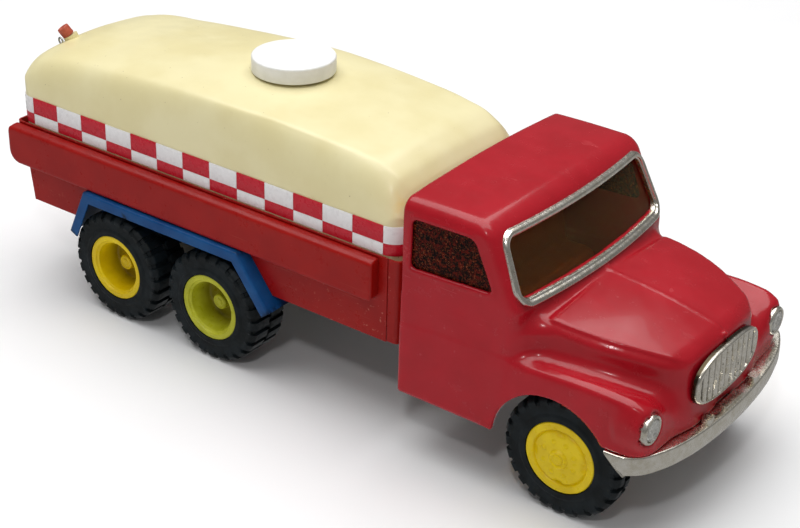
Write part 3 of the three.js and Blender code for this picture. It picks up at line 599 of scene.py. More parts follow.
CAB_RED = moulded_red()
BED_RED = enamel("bed_enamel", (150, 14, 10), (162, 20, 14), (196, 112, 96), 0.62)
GUARD_BLUE = enamel("guard_enamel", (6, 64, 120), (20, 84, 142), (14, 24, 34), 0.42, (0.34, 0.52))
CREAM = cream_shell()
WHITE = white_cap()
TAPE_RED = tape("tape_red", (196, 24, 44), (206, 60, 74))
TAPE_WHITE = tape("tape_white", (238, 236, 236), (214, 208, 208))
YELLOW = wheel_plastic("yellow_plastic", (224, 192, 4), (236, 206, 8))
OLD_YELLOW = wheel_plastic("faded_yellow_plastic", (176, 176, 30), (196, 196, 52))
RUBBER = tyre_rubber()
PLATING = worn_plating("worn_plating")
GRILLE_PLATING = worn_plating("grooved_plating", (GRILLE_BACK + 0.4, GRILLE_BACK + 1.3))
STEEL = zinc_steel()
AMBER = amber_sheet()
# Painted shade on both side panes, most on the dark one.
DARK_PANE = speckled_pane("dark_pane", 0.15, 0.8)
THIN_PANE = speckled_pane("thin_pane", 0.8, 1.0)
LENS = clear_lens()
CORAL = plain("coral_rubber", (178, 78, 58), (196, 98, 76), 0.5, 2.0)
BROWN = plain("brown_plastic", (150, 74, 46), (166, 88, 56), 0.5)


# ---- cab
SCREEN = {"top": 97, "bottom": 72, "top_x": 85.4, "bottom_x": 97.2,
          "top_bow": 3, "bottom_bow": 4, "half": 47}
SCREEN_HOLE = tapered(42.4, 94.9, 44.9, 75.7)
SCREEN_BEAD = tapered(43.6, 96.1, 46.2, 74.4)
ARCH = {"x": 113.4, "z": 23.1, "radius": 23.6}
NOSE_BOTTOM = BUMPER_HIGH[2] + 0.4
SILL = CAB_LOW[2]
SIDE_WINDOW = [(53.6, 94.1), (78.9, 94.6), (87.1, 77.0), (53.2, 75.4)]
SIDE_PANE = [(52.6, 94.9), (80, 95.4), (88, 75.6), (52.4, 74)]
REAR_WINDOW = tapered(24, 93, 24, 79)
REAR_PANE = tapered(26, 95, 26, 77)
CAB_REAR, WING_REAR = CAB_LOW[0] - 0.5, CAB_LOW[0] + 2
NOSE_FRONT, WING_FRONT = 150, 149.6
NOSE_WALL, ROOF_WALL = 0.7, 0.5

BONNET_WIDTH = smooth_table([(86, 41), (104, 41), (113, 40.3), (122, 38.5), (130, 35.8), (136, 33),
                             (141, 30.4), (146, 27.4), (152, 23.6)], 60, 160)
BONNET_TOP = smooth_table([(86, 71.8), (104, 71.4), (113, 70.7), (122, 69.7), (130, 68.5),
                           (136, 67.3), (141, 66.2), (146, 65), (152, 63.4)], 60, 160)
WING_WIDTH = smooth_table([(46, 46), (80, 46.5), (90, 48.4), (98, 49.8), (106, 50.2), (118, 50.4),
                           (136, 50.4), (143, 50), (152, 49)], 40, 160)
WING_CREST = smooth_table([(46, 52.2), (62, 54), (84, 55), (103, 55.5), (118, 56.6), (132, 57),
                           (142, 56.4), (152, 55)], 40, 160)

DOOR_WIDTH = 49.3
LAMP_Y, LAMP_Z, LAMP_RADIUS, LAMP_FACE = 45, 46.9, 5.4, 149.2
POD_RADIUS, POD_REAR = 6.9, 137
KNOB, KNOB_RADIUS = (148.8, 0, 62.2), 1.3


def screen_x(y, z):
    """The windscreen's bowed, sloping face: x at a place on it."""
    down = np.minimum(1, (SCREEN["top"] - z) / (SCREEN["top"] - SCREEN["bottom"]))
    bow = 1 - np.minimum(1, np.abs(y) / SCREEN["half"]) ** 2
    top = SCREEN["top_x"] + SCREEN["top_bow"] * bow
    bottom = SCREEN["bottom_x"] + SCREEN["bottom_bow"] * bow
    return top + (bottom - top) * down


def within(outline, u, v, radius):
    """Distance from a convex outline, its corners rounded. The points go round clockwise."""
    result = None
    for (a0, b0), (a1, b1) in zip(outline, outline[1:] + outline[:1]):
        length = math.hypot(a1 - a0, b1 - b0)
        edge = ((u - a0) * (b0 - b1) + (v - b0) * (a1 - a0)) / length
        result = edge if result is None else trimmed(result, edge, radius)
    return result


def passenger_box(x, y, z):
    """The cab behind the windscreen, with a crowned roof."""
    across = np.abs(y)
    side = across - DOOR_WIDTH - 0.35 * np.clip((WING_CREST(x) - z) / 0.4, 0, 1)
    face = (x - screen_x(y, z)) / 1.05
    roof = z - CAB_HIGH[2] + 1.4 * (across / 44) ** 2 + 0.4 * ((x - 68) / 20) ** 2
    body = trimmed(trimmed(side, face, 4), roof, 5)
    return trimmed(body, CAB_REAR - x, 1.2)


def bonnet(x, y, z):
    """A broad arch with a raised panel whose edge runs along each shoulder to the nose."""
    across = np.abs(y)
    width, top = BONNET_WIDTH(x), BONNET_TOP(x)
    crown = z - top + 2.3 * (across / width) ** 2
    arch = trimmed(across - width - 0.02 * (60 - z), crown + 0.9, 3.4)
    panel = trimmed(trimmed(across - width + 2.1, crown, 0.7), 102 - x, 3)
    crease = joined(panel, np.hypot(across, crown + 0.6) - 0.72, 0.5)
    whole = joined(arch, crease, 0.5)
    nose = x - NOSE_FRONT + 1.6 * (across / 24) ** 2 + 0.05 * np.maximum(0, z - 50)
    return trimmed(arch, nose, 5), trimmed(whole, nose, 5)


def wings(x, y, z):
    """The front wings and the doors' lower half, with a narrow double crest along the top."""
    across = np.abs(y)
    side = across - WING_WIDTH(x)
    crest = WING_CREST(x)
    top = (z - crest + 0.42 * np.maximum(0, 46.8 - across)) * 0.93
    slope = (side + z - crest + 1.7) * 0.7071
    body = trimmed(trimmed(side, slope, 1.4), top, 1.6)
    front = x - WING_FRONT + 1.6 * (across / 50) ** 2
    body = trimmed(trimmed(body, front, 7.5), WING_REAR - x, 1.5)
    pod = np.hypot(across - LAMP_Y, z - LAMP_Z) - POD_RADIUS + 0.04 * (147 - x)
    pod = trimmed(trimmed(pod, x - LAMP_FACE + 2.4, 1.6), POD_REAR - x, 2)
    return joined(body, pod, 3)


def cab_shell(x, y, z):
    """The cab's moulded shell.

    The bonnet's hollow runs on to the rear and opens the back wall below the rear window.
    """
    across = np.abs(y)
    box, (arch, hood), wing = passenger_box(x, y, z), bonnet(x, y, z), wings(x, y, z)
    cowl = joined(box, hood, 4 + 6 * np.clip((70 - z) / 6, 0, 1))
    outside = joined(cowl, wing, 3.5 + 4 * np.clip((x - 96) / 10, 0, 1))
    knob = np.sqrt((x - KNOB[0]) ** 2 + y ** 2 + (z - KNOB[2]) ** 2) - KNOB_RADIUS
    outside = joined(outside, knob, 0.5)
    wall = SHELL + NOSE_WALL * np.clip((x - 80) / 16, 0, 1)
    wall = wall + ROOF_WALL * np.clip((z - 95) / 2, 0, 1)
    hollow = np.minimum(np.minimum(box, arch), wing) + wall
    window = within(SIDE_WINDOW, x, z, 2.2)
    outside = joined(outside, np.hypot(window - 1.1, np.maximum(0, across - 48.9)) - 0.85, 0.4)
    edge = 0.55
    shell = trimmed(outside, -hollow, 0.3)
    shell = trimmed(shell, np.where(x < ARCH["x"], SILL, NOSE_BOTTOM) - z, edge)
    shell = trimmed(shell, ARCH["radius"] - np.hypot(x - ARCH["x"], z - ARCH["z"]), edge)
    shell = trimmed(shell, -np.maximum(window, 40 - across), edge)
    screen = within(SCREEN_HOLE, y, z, 2.5)
    shell = trimmed(shell, -np.maximum(screen, 80 - x), edge)
    back = within(REAR_WINDOW, y, z, 3)
    shell = trimmed(shell, -np.maximum(back, x - 54), edge)
    notch = np.maximum(np.maximum(across - 17.5, z - 36.5), x - 54)
    shell = trimmed(shell, -notch, edge)
    lamp = np.maximum(np.hypot(across - LAMP_Y, z - LAMP_Z) - LAMP_RADIUS - 0.1, 143 - x)
    return trimmed(shell, -lamp, 0.4)


CAB_PITCH = 0.85
CAB_GRID = (48, -52.5, SILL - 2), (152.5, 52.5, 105)
piece("cab_skin", surface_of(cab_shell, *CAB_GRID, CAB_PITCH), CAB_RED,
      stands_for="cab_shell", sharp=180)


def windscreen_frame():
    """A bright bead with a stepped section, bent round the opening on the bowed face."""
    line = resampled(rounded(SCREEN_BEAD, 4.4, 8, closed=True), 1.1, closed=True)
    out = to_left(unit(np.roll(line, -1, 0) - np.roll(line, 1, 0)))
    section = rounded([(-1.25, -1.2), (-1.25, 0.5), (-0.65, 0.7), (-0.4, 1.5), (0.8, 1.7),
                       (1.25, 0.9), (1.25, -1.2)], [0, 0.3, 0.15, 0.4, 0.45, 0.4, 0], 3, closed=True)
    sections = []
    for (y, z), (out_y, out_z) in zip(line, out):
        w, h = section[:, 0], section[:, 1]
        py, pz = y + out_y * w, z + out_z * w
        sections.append(np.stack([screen_x(py, pz) + h, py, pz], -1))
    return loft(sections, ring=True)


piece("windscreen_bead", windscreen_frame(), PLATING,
      stands_for="windscreen_frame", sharp=60)


def windscreen_sheet():
    """The amber sheet behind the bead, bent like the face."""
    heights = np.linspace(SCREEN["bottom"] + 1, SCREEN["top"] - 1.2, 14)
    inset, thickness = SHELL + 0.4, 0.8
    sections = []
    for y in np.linspace(-44.6, 44.6, 43):
        face = np.array([(screen_x(y, z) - inset, y, z) for z in heights])
        sections.append(np.concatenate([face, face[::-1] - (thickness, 0, 0)]))
    return loft(sections)


piece("windscreen_sheet", windscreen_sheet(), AMBER,
      stands_for="windscreen_glazing", sharp=60)

for side, sign in SIDES:
    low, high = node_box(f"side_window_{side}")
    near, far = (low[1], high[1]) if sign > 0 else (high[1], low[1])
    pane = extruded(rounded(SIDE_PANE, 2, closed=True), along_y, near, far)
    bevelled(f"side_pane_{side}", pane, THIN_PANE if sign > 0 else DARK_PANE,
             f"side_window_{side}", 0.2)

rear_low, rear_high = node_box("rear_window")
pane = extruded(rounded(REAR_PANE, 3, closed=True), along_x, rear_low[0], rear_high[0])
bevelled("rear_pane", pane, AMBER, "rear_window", 0.2)


def seat_outline():
    """The bench and its backrest from the side."""
    low, high = SEAT_LOW, SEAT_HIGH
    cushion = low[2] + 17.4
    corners = [(low[0], low[2]), (high[0], low[2]), (high[0], cushion), (low[0] + 8.5, cushion),
               (low[0] + 5.6, high[2]), (low[0] + 1.6, high[2])]
    return rounded(corners, [0.5, 0.8, 3.5, 2, 2, 2], closed=True)


seat = extruded(seat_outline(), along_y, SEAT_LOW[1], SEAT_HIGH[1])
bevelled("seat_bench_padded", seat, BROWN, "seat_bench", 1.4, 4)


# ---- grille, lamps and bumper
def grille_form():
    """An oval shield with a rolled rim and a row of upright bars with deep grooves between."""
    middle_z, half_width, half_height = 51.2, 22.2, 9.4
    bars, squareness = 11, 2.7
    turn = np.linspace(0, 2 * math.pi, 320, endpoint=False)
    cos, sin = np.cos(turn), np.sin(turn)
    outline = np.stack([half_width * np.sign(cos) * np.abs(cos) ** (2 / squareness),
                        half_height * np.sign(sin) * np.abs(sin) ** (2 / squareness)], -1)
    width = 2 * half_width / bars

    def height(a, b, share):
        wave = np.cos(2 * math.pi * (a + 0.05 * b) / width)
        bar = np.clip(0.75 + 1.5 * wave, 0, 1)
        rim = np.clip((share - 0.885) / 0.03, 0, 1)
        edge = np.sqrt(np.clip(1 - ((share - 0.94) / 0.062) ** 2, 0, 1))
        return 0.3 + 1.5 * bar * (1 - rim) + rim * (0.5 + 1.2 * edge) - 0.4 * (a / half_width) ** 2

    rings = np.concatenate([np.linspace(0, 0.88, 60), np.linspace(0.89, 1, 12)])
    return relief(outline, rings, height, -0.6,
                  lambda a, b, h: np.stack([GRILLE_BACK + h, a, middle_z + b], -1))


piece("grille_bars", grille_form(), GRILLE_PLATING, stands_for="grille", sharp=50)

for side, sign in SIDES:
    at = (0, sign * LAMP_Y, LAMP_Z)
    x0, x1, r, lens = LAMP_BACK, LAMP_FACE - 0.5, LAMP_RADIUS, LAMP_RADIUS - 1.3
    ring = rounded([(lens + 0.1, x0), (r, x0), (r, x1 - 0.7), (r - 0.4, x1), (lens + 0.1, x1)],
                   [0, 0, 0.4, 0.3, 0.5], 3, True)
    piece(f"lamp_ring_{side}", turned(ring, 48, at, (1, 0, 0)), PLATING,
          stands_for=f"headlight_bezel_{side}", sharp=60)
    back, face = LENS_BACK, LAMP_FACE + 0.3
    facets = [(0, back), (lens, back), (lens, face - 1.3), (lens - 0.6, face - 0.6),
              (2.6, face - 0.5), (1.9, face), (0.9, face - 0.4), (0, face)]
    piece(f"lamp_lens_{side}", turned(facets, 12, at, (1, 0, 0), closed=False), LENS,
          stands_for=f"headlight_lens_{side}", sharp=12)


BUMPER_PLAN = [(134.5, -51.4), (141, -50.6), (146.2, -46.8), (150.6, -38.6), (153.8, -27),
               (155.7, -11), (156.1, 3), (155.3, 20), (153.4, 36), (150.4, 46.8), (146, 54),
               (139.5, 56.5)]
LEDGE = 7.0
# Where the ends are cut off, how far the cut leans back up to the top, and what is left past it.
BUMPER_END, BUMPER_LEAN, BUMPER_REST = 142.4, 8.6, 0.02
BUMPER_LIFT = 2.6
# The blocks on the ledge: middle, half width and height.
BLOCKS = ((-14.5, 2.2, 2.6), (19.5, 2.2, 2.8), (2.5, 6.4, 1.5))
BLOCK_BACK, BLOCK_FRONT = 151.6, 154.8


def bumper_form():
    """A pressed bar with a ledge along its top. Its left end stands further out and higher."""
    plan = np.array(BUMPER_PLAN, float)
    run = run_along(plan)
    at = np.linspace(0, run[-1], 150)
    line = np.stack([smooth_table(np.stack([run, plan[:, k]], -1), 0, run[-1], 4000)(at)
                     for k in (0, 1)], -1)
    inward = to_left(unit(np.gradient(line, axis=0)))
    bottom, top, sheet = BUMPER_LOW[2], BUMPER_HIGH[2], 1.2
    section = rounded([(0.5, bottom), (0, bottom + 2.2), (0, top - 1.5), (0.25, top), (LEDGE, top),
                       (LEDGE, top - sheet), (sheet, top - sheet), (sheet, bottom)],
                      [0.3, 1.5, 1.5, 0.7, 0.3, 0.3, 0.8, 0.2], 4, closed=True)
    sections = []
    for (x, y), (ix, iy) in zip(line, inward):
        depth, z = section[:, 0], section[:, 1]
        depth = np.where(depth > 2.5, depth - 3.6 * np.clip((abs(y) - 34) / 10, 0, 1), depth)
        sections.append(np.stack([x + ix * depth, y + iy * depth, z], -1))
    points, faces = loft(sections)
    rise = np.clip((points[:, 2] - bottom) / (top - bottom), 0, 1)
    cut = BUMPER_END - BUMPER_LEAN * rise
    behind = points[:, 0] < cut
    points[behind, 0] = cut[behind] + (points[behind, 0] - cut[behind]) * BUMPER_REST
    points[:, 2] += BUMPER_LIFT * np.clip((points[:, 1] - 20) / 34, 0, 1) ** 1.5
    low = top - 0.2
    for middle, half, height in BLOCKS:
        a, b = middle - half, middle + half
        plan = [(a, BLOCK_BACK), (b, BLOCK_BACK), (b, BLOCK_FRONT), (a, BLOCK_FRONT)]
        plan = rounded(plan, 0.8, 4, closed=True)
        block, sides = loft([[(x, y, z) for y, x in plan] for z in (low, low + height)])
        faces = list(faces) + [[v + len(points) for v in face] for face in sides]
        points = np.concatenate([points, block])
    return points, faces


piece("bumper_bar", bumper_form(), PLATING, stands_for="front_bumper", sharp=50)


# ---- tank, band and filler
# Each row: x, height at the centre, crease distance from the centre, crease height,
# and the pull of the curve from the crease down to the side.
TANK_ROWS = np.array([
    [-152.0, 92.6, 22.5, 91.0, 35.0, 89.6], [-150.6, 96.4, 24.5, 94.6, 37.2, 93.0],
    [-147.6, 98.6, 26.5, 96.8, 38.4, 95.0], [-142.0, 100.3, 28.5, 98.4, 38.9, 96.4],
    [-115.0, 104.2, 31.0, 101.7, 39.1, 99.2], [-90.0, 106.6, 32.5, 103.7, 39.2, 100.6],
    [-65.0, 108.2, 34.0, 105.1, 39.3, 101.3], [-43.0, 108.6, 35.0, 105.4, 39.3, 101.4],
    [-23.0, 107.6, 34.0, 105.0, 39.2, 100.8], [-2.0, 105.8, 33.2, 103.9, 39.1, 99.7],
    [18.0, 103.3, 32.4, 101.9, 38.9, 97.8], [30.0, 100.1, 31.3, 99.2, 38.5, 95.5],
    [36.5, 95.6, 29.9, 94.8, 37.6, 91.6], [40.0, 90.2, 28.0, 89.6, 35.5, 87.0],
    [41.6, 84.0, 26.0, 83.8, 33.5, 83.0]])
TANK_CORNER = 7.5
TANK_SIDE_TOP = 82
CAP_AXIS = (CAP_X, 0, 0), (0, 0, 1)


def tank_form():
    """The tank's outside as one row of points for each station along it."""
    rear, front, half_width, bottom = TANK_LOW[0], TANK_HIGH[0], TANK_HIGH[1], TANK_LOW[2]
    tables = [smooth_table(TANK_ROWS[:, [0, k]], rear, front, 3000) for k in range(1, 6)]
    turn = np.linspace(0, math.pi / 2, 12)
    corner = TANK_CORNER * (1 - np.cos(turn))
    between = np.arange(rear + TANK_CORNER + 1.5, front - TANK_CORNER - 1, 1.5)
    stations = np.concatenate([rear + corner, between, front - corner[::-1]])
    t = np.linspace(0, 1, 26)
    sections = []
    for x in stations:
        centre, crease_y, crease_z, pull_y, pull_z = (float(table(x)) for table in tables)
        end = max(0, TANK_CORNER - min(x - rear, front - x))
        width = half_width - TANK_CORNER + math.sqrt(TANK_CORNER ** 2 - end ** 2)
        crown_y = 2 * t * (1 - t) * crease_y / 2 + t * t * crease_y
        crown_z = centre + t * t * (crease_z - centre)
        bow = [(1 - t) ** 2 * a + 2 * t * (1 - t) * b + t * t * c for a, b, c in (
            (crease_y, pull_y, half_width), (crease_z, pull_z, TANK_SIDE_TOP))]
        wall = np.linspace(TANK_SIDE_TOP, bottom, 16)[1:]
        y = np.concatenate([crown_y, bow[0][1:], np.full(15, half_width)])
        z = np.concatenate([crown_z, bow[1][1:], wall])
        fade = float(np.clip((-20 - x) / 50, 0.05, 1))
        for _ in range(int(14 * fade) + 1):
            z[10:-16] = z[10:-16] + 0.25 * (z[9:-17] - 2 * z[10:-16] + z[11:-15])
            y[10:-16] = y[10:-16] + 0.25 * (y[9:-17] - 2 * y[10:-16] + y[11:-15])
        y = np.minimum(y, width)
        outline = np.concatenate([np.stack([y, z], -1), np.stack([-y[:0:-1], z[:0:-1]], -1)])
        sections.append(np.column_stack([np.full(len(outline), x), outline]))
    return np.array(sections)


def tank_skin():
    """The tank's outside, its inside a wall's thickness in, and the open foot between them."""
    outer = tank_form()
    middle = np.array([(TANK_LOW[0] + TANK_HIGH[0]) / 2, 0, TANK_LOW[2]])
    reach = np.array([(TANK_HIGH[0] - TANK_LOW[0]) / 2, TANK_HIGH[1], TANK_HIGH[2] - TANK_LOW[2]])
    inner = middle + (outer - middle) * (reach - TANK_WALL) / reach
    rows, columns = outer.shape[:2]
    count = rows * columns
    split = columns // 2
    faces = [f for f in net_faces(rows, columns)
             if {f[0] % columns, f[3] % columns} != {split, split + 1}]
    faces += [list(range(columns)), list(range((rows - 1) * columns, count))]
    inside = [[v + count for v in f] for f in faces]
    foot = []
    for row in range(rows - 1):
        for column in (split, split + 1):
            a, b = row * columns + column, (row + 1) * columns + column
            foot.append([a, b, b + count, a + count])
    for row in (0, rows - 1):
        a, b = row * columns + split, row * columns + split + 1
        foot.append([a, b, b + count, a + count])
    points = np.concatenate([outer.reshape(-1, 3), inner.reshape(-1, 3)])
    return points, faces + inside + foot


tank = piece("tank_skin", tank_skin(), CREAM, stands_for="tank_shell", sharp=50)
hole = turned([(0, 90), (12.2, 90), (12.2, 125), (0, 125)], 64, *CAP_AXIS, closed=False)
cutter = piece("filler_hole", hole, CREAM)
cut = tank.modifiers.new("filler_hole", "BOOLEAN")
cut.operation = "DIFFERENCE"
cut.object = cutter
bpy.context.view_layer.update()
graph = bpy.context.evaluated_depsgraph_get()
tank_mesh = bpy.data.meshes.new_from_object(tank.evaluated_get(graph))
tank.modifiers.clear()
tank.data = tank_mesh
bpy.data.objects.remove(cutter)


def band_line(offset):
    """The band's line round the tank seen from above, from the rear of the left side forward."""
    rear, front, half = TANK_LOW[0] - offset, TANK_HIGH[0] + offset, TANK_HIGH[1] + offset
    corners = [(rear, -half), (rear, half), (front, half), (front, -half)]
    return rounded(corners, TANK_CORNER + offset, 16, closed=True)


SQUARE = 13.66
BAND_START = -143.0
BAND_SPLIT = BAND_LOW[2] + 0.4 * (BAND_HIGH[2] - BAND_LOW[2])


def check_band():
    """Two rows of squares that swap colours, thirteen to a side, five across each end."""
    line = band_line(0.2)
    line = np.concatenate([line, line[:1]])
    run = run_along(line)
    whole = run[-1]
    left = int(np.argmax(line[:, 1] > TANK_HIGH[1]))
    right = int(np.argmax((line[:, 1] < -TANK_HIGH[1]) & (run > whole / 2)))
    sides = [run[left] + BAND_START - line[left, 0],
             run[right] + line[right, 0] - BAND_START - 13 * SQUARE]
    corner = 12.6
    marks, colours = [sides[0]], []
    for start, after in ((sides[0], sides[1]), (sides[1], sides[0] + whole)):
        for k in range(13):
            marks.append(start + SQUARE * (k + 1))
            colours.append(1 - k % 2)
        marks.append(marks[-1] + corner)
        colours.append(0)
        end = (after - marks[-1] - corner) / 5
        for k in range(5):
            marks.append(marks[-1] + end)
            colours.append(1 - k % 2)
        marks.append(after)
        colours.append(0)
    points, faces, kinds = [], [], []
    heights = [BAND_LOW[2], BAND_SPLIT, BAND_HIGH[2]]
    seam = 0.07
    for k, colour in enumerate(colours):
        a, b = marks[k] + seam, marks[k + 1] - seam
        inside = [v for v in run if a < v < b] + [v + whole for v in run if a < v + whole < b]
        stops = np.unique(np.concatenate([np.linspace(a, b, 9), inside]))
        x = np.interp(stops % whole, run, line[:, 0])
        y = np.interp(stops % whole, run, line[:, 1])
        out = np.stack([x - np.clip(x, TANK_LOW[0] + TANK_CORNER, TANK_HIGH[0] - TANK_CORNER),
                        y - np.clip(y, -TANK_HIGH[1] + TANK_CORNER, TANK_HIGH[1] - TANK_CORNER)], -1)
        out = unit(out)
        for row in range(2):
            kind = colour if row else 1 - colour
            low, high = heights[row] + seam * row, heights[row + 1]
            lift = 0.22 if row else 0.16
            sections = []
            for px, py, (ox, oy) in zip(x, y, out):
                sections.append([(px + ox * d, py + oy * d, z) for d, z in (
                    (-0.12, low), (lift - 0.06, low), (lift, low + 0.12), (lift, high - 0.12),
                    (lift - 0.06, high), (-0.12, high))])
            made, quads = loft(sections)
            faces += [[v + len(points) for v in f] for f in quads]
            points += made.tolist()
            kinds += [kind] * len(quads)
    return (np.array(points), faces), kinds


band, band_kinds = check_band()
piece("check_tape", band, [TAPE_WHITE, TAPE_RED], stands_for="check_band",
      kinds=band_kinds, sharp=50)

neck = rounded([(12, NECK_LOW[2]), (12, 108.9), (14, 108.9), (14, 109.7), (12, 109.7),
                (12, NECK_HIGH[2]), (10.8, NECK_HIGH[2]), (10.8, NECK_LOW[2])],
               [0, 0.3, 0.2, 0.2, 0.3, 0.4, 0.4, 0], 3, closed=True)
piece("filler_neck_ring", turned(neck, 64, *CAP_AXIS), CREAM,
      stands_for="filler_neck", sharp=50)

cap_radius = (CAP_HIGH[0] - CAP_LOW[0]) / 2
top, foot = CAP_HIGH[2], CAP_LOW[2]
lid = rounded([(0, top - 1.4), (14.8, top - 1.4), (14.8, foot), (cap_radius, foot),
               (cap_radius, top), (cap_radius - 1.5, top), (cap_radius - 1.8, top - 0.12),
               (0, top - 0.12)],
              [0, 0.6, 0.2, 0.35, 1.1, 0.3, 0.3, 0], 5)
piece("filler_lid", turned(lid, 96, *CAP_AXIS, closed=False), WHITE,
      body="filler_cap", stands_for="filler_cap", sharp=50)

# ---- outlet
OUTLET = np.array([-147.2, -12.5, 97.4])
OUTLET_AXIS = (-0.48, -0.34, 0.81)
stub = rounded([(1.25, 4), (1.25, 7.0), (2.5, 7.0), (2.55, 2.75), (0, 2.75)],
               [0, 0.45, 0.5, 0.4, 0], 4)
stub = np.concatenate([[(0, 4)], stub])
piece("hose_end", turned(stub, 40, OUTLET, OUTLET_AXIS, closed=False), CORAL,
      stands_for="hose_stub", sharp=60)
WIRE, HOOP = 0.38, 1.3
hoop = [(HOOP + WIRE * math.cos(t), WIRE * math.sin(t))
        for t in np.linspace(0, 2 * math.pi, 12, endpoint=False)]
RING_AT, RING_AXIS = OUTLET + (-1.6, -5.2, 0.9), (0.15, 1, 0.1)
piece("wire_ring", turned(hoop, 40, RING_AT, RING_AXIS), STEEL,
      stands_for="wire_eyelet", sharp=60)


# ---- bed
def skirt_form(x, y, z):
    """A folded side board: round ends, and a top that slopes up to the tank."""
    low, high = SKIRT_LOW, SKIRT_HIGH
    ends = trimmed(trimmed(low[0] - x, low[2] - z, 5.5), trimmed(x - high[0], low[2] - z, 2.5), 0.1)
    ends = trimmed(ends, trimmed(low[0] - x, z - high[2] + 0.9, 3.5), 0.1)
    slant = (z - high[2] + 0.55 * (y - low[1])) / 1.14
    body = trimmed(trimmed(ends, y - high[1], 1.1), slant, 0.7)
    return np.maximum(body, np.where(z > APRON_HIGH[2] + 0.05, TANK_HIGH[1] + 0.4, low[1]) - y)


SKIRT_PITCH = 0.75
skirt = surface_of(skirt_form, SKIRT_LOW - 2, SKIRT_HIGH + 2, SKIRT_PITCH)
for side, sign in SIDES:
    piece(f"side_board_{side}", (skirt[0] * (1, sign, 1), skirt[1]), BED_RED,
          stands_for=f"side_skirt_{side}", sharp=60)

WELL = [(-119.6, 32.4), (-110.6, 52), (-29.2, 52), (-13.4, 31.4)]


def offset_line(line, distance, longer=0.0):
    """An open line moved to its left, with both ends carried on by a length."""
    line = np.array(line, float)
    along = unit(np.diff(line, axis=0))
    left = to_left(along)
    out = [line[0] + left[0] * distance - along[0] * longer]
    for k in range(1, len(line) - 1):
        mitre = left[k - 1] + left[k]
        out.append(line[k] + mitre * distance / (1 + left[k - 1] @ left[k]))
    out.append(line[-1] + left[-1] * distance + along[-1] * longer)
    return np.array(out)


def apron_outline():
    """The lower side panel, cut away round the mudguard."""
    low, high = APRON_LOW, APRON_HIGH
    rake = 2.2
    well = offset_line(WELL, 0.3, 8)
    foot = []
    for (x0, z0), (x1, z1) in ((well[0], well[1]), (well[3], well[2])):
        foot.append((x0 + (x1 - x0) * (low[2] - z0) / (z1 - z0), low[2]))
    return [(low[0] + rake, low[2]), foot[0], tuple(well[1]), tuple(well[2]), foot[1],
            (high[0], low[2]), (high[0], high[2]), (low[0], high[2]), (low[0], SKIRT_LOW[2])]


for side, sign in SIDES:
    panel = extruded(apron_outline(), along_y, sign * APRON_LOW[1], sign * APRON_HIGH[1])
    bevelled(f"lower_panel_{side}", panel, BED_RED, f"apron_{side}", 0.22)


def wall_form(outer_x, return_x, corner, low, high):
    """An end wall whose ends turn round the bed's corners."""
    half = APRON_HIGH[1]
    corners = [(return_x, -half), (outer_x, -half), (outer_x, half), (return_x, half)]
    line = rounded(corners, corner, 12)
    inner_x = outer_x - math.copysign(SHEET, outer_x - return_x)
    reach = half - SHEET
    inside = [(return_x, -reach), (inner_x, -reach), (inner_x, reach), (return_x, reach)]
    inside = rounded(inside, corner - SHEET, 12)
    sections = []
    for (xo, yo), (xi, yi) in zip(line, inside):
        sections.append([(xo, yo, low), (xo, yo, high), (xi, yi, high), (xi, yi, low)])
    return loft(sections)


for name, node, face, corner in (("front_board", "bed_front_wall", 1, 5),
                                 ("rear_board", "tailboard", 0, 4.8)):
    box = node_box(node)
    wall = wall_form(box[face][0], box[1 - face][0], corner, box[0][2], box[1][2])
    bevelled(name, wall, BED_RED, node, 0.2)
low, high = node_box("rear_valance")
valance = rounded([(low[1], low[2]), (high[1], low[2]), (high[1], high[2]), (low[1], high[2])],
                  [3, 3, 0, 0], closed=True)
bevelled("rear_skirt_board", extruded(valance, along_x, low[0], high[0]), BED_RED,
         "rear_valance", 0.2)


def mudguard_form(sign):
    """A bent strip with a lip turned down along its outer edge, mitred at the bends."""
    inner, outer, lip, sheet = GUARD_LOW[1], GUARD_HIGH[1], 4.4, 1.0
    section = rounded([(inner, 0), (outer, 0), (outer, lip), (outer - SHEET, lip),
                       (outer - SHEET, sheet), (inner, sheet)],
                      [0.3, 0.9, 0.25, 0.25, 0.3, 0.3], 4, closed=True)
    line = np.array(WELL, float)
    stops = []
    for k in range(3):
        count = max(2, int(norm(line[k + 1] - line[k]) / 2))
        stops += [(k, t) for t in np.linspace(0, 1, count, endpoint=False)]
    stops.append((2, 1.0))
    lines = {d: offset_line(WELL, -d) for d in np.unique(section[:, 1])}
    sections = []
    for k, t in stops:
        ring = []
        for y, d in section:
            x, z = lines[d][k] + (lines[d][k + 1] - lines[d][k]) * t
            ring.append((x, sign * y, z))
        sections.append(ring)
    return loft(sections)


for side, sign in SIDES:
    piece(f"wheel_guard_{side}", mudguard_form(sign), GUARD_BLUE,
          stands_for=f"mudguard_{side}", sharp=32)


# ---- wheels
LUGS = 25
LUG_STOPS = [0, 0.04, 0.08, 0.12, 0.29, 0.46, 0.5, 0.54, 0.58, 0.62, 0.79, 0.96]


def lug_height(turn):
    """1 on a tread block and 0 in the gap after it, for a place counted in lugs."""
    t = turn % 1
    return np.clip(np.where(t < 0.8, (0.62 - t) / 0.04, (t - 0.96) / 0.04), 0, 1)


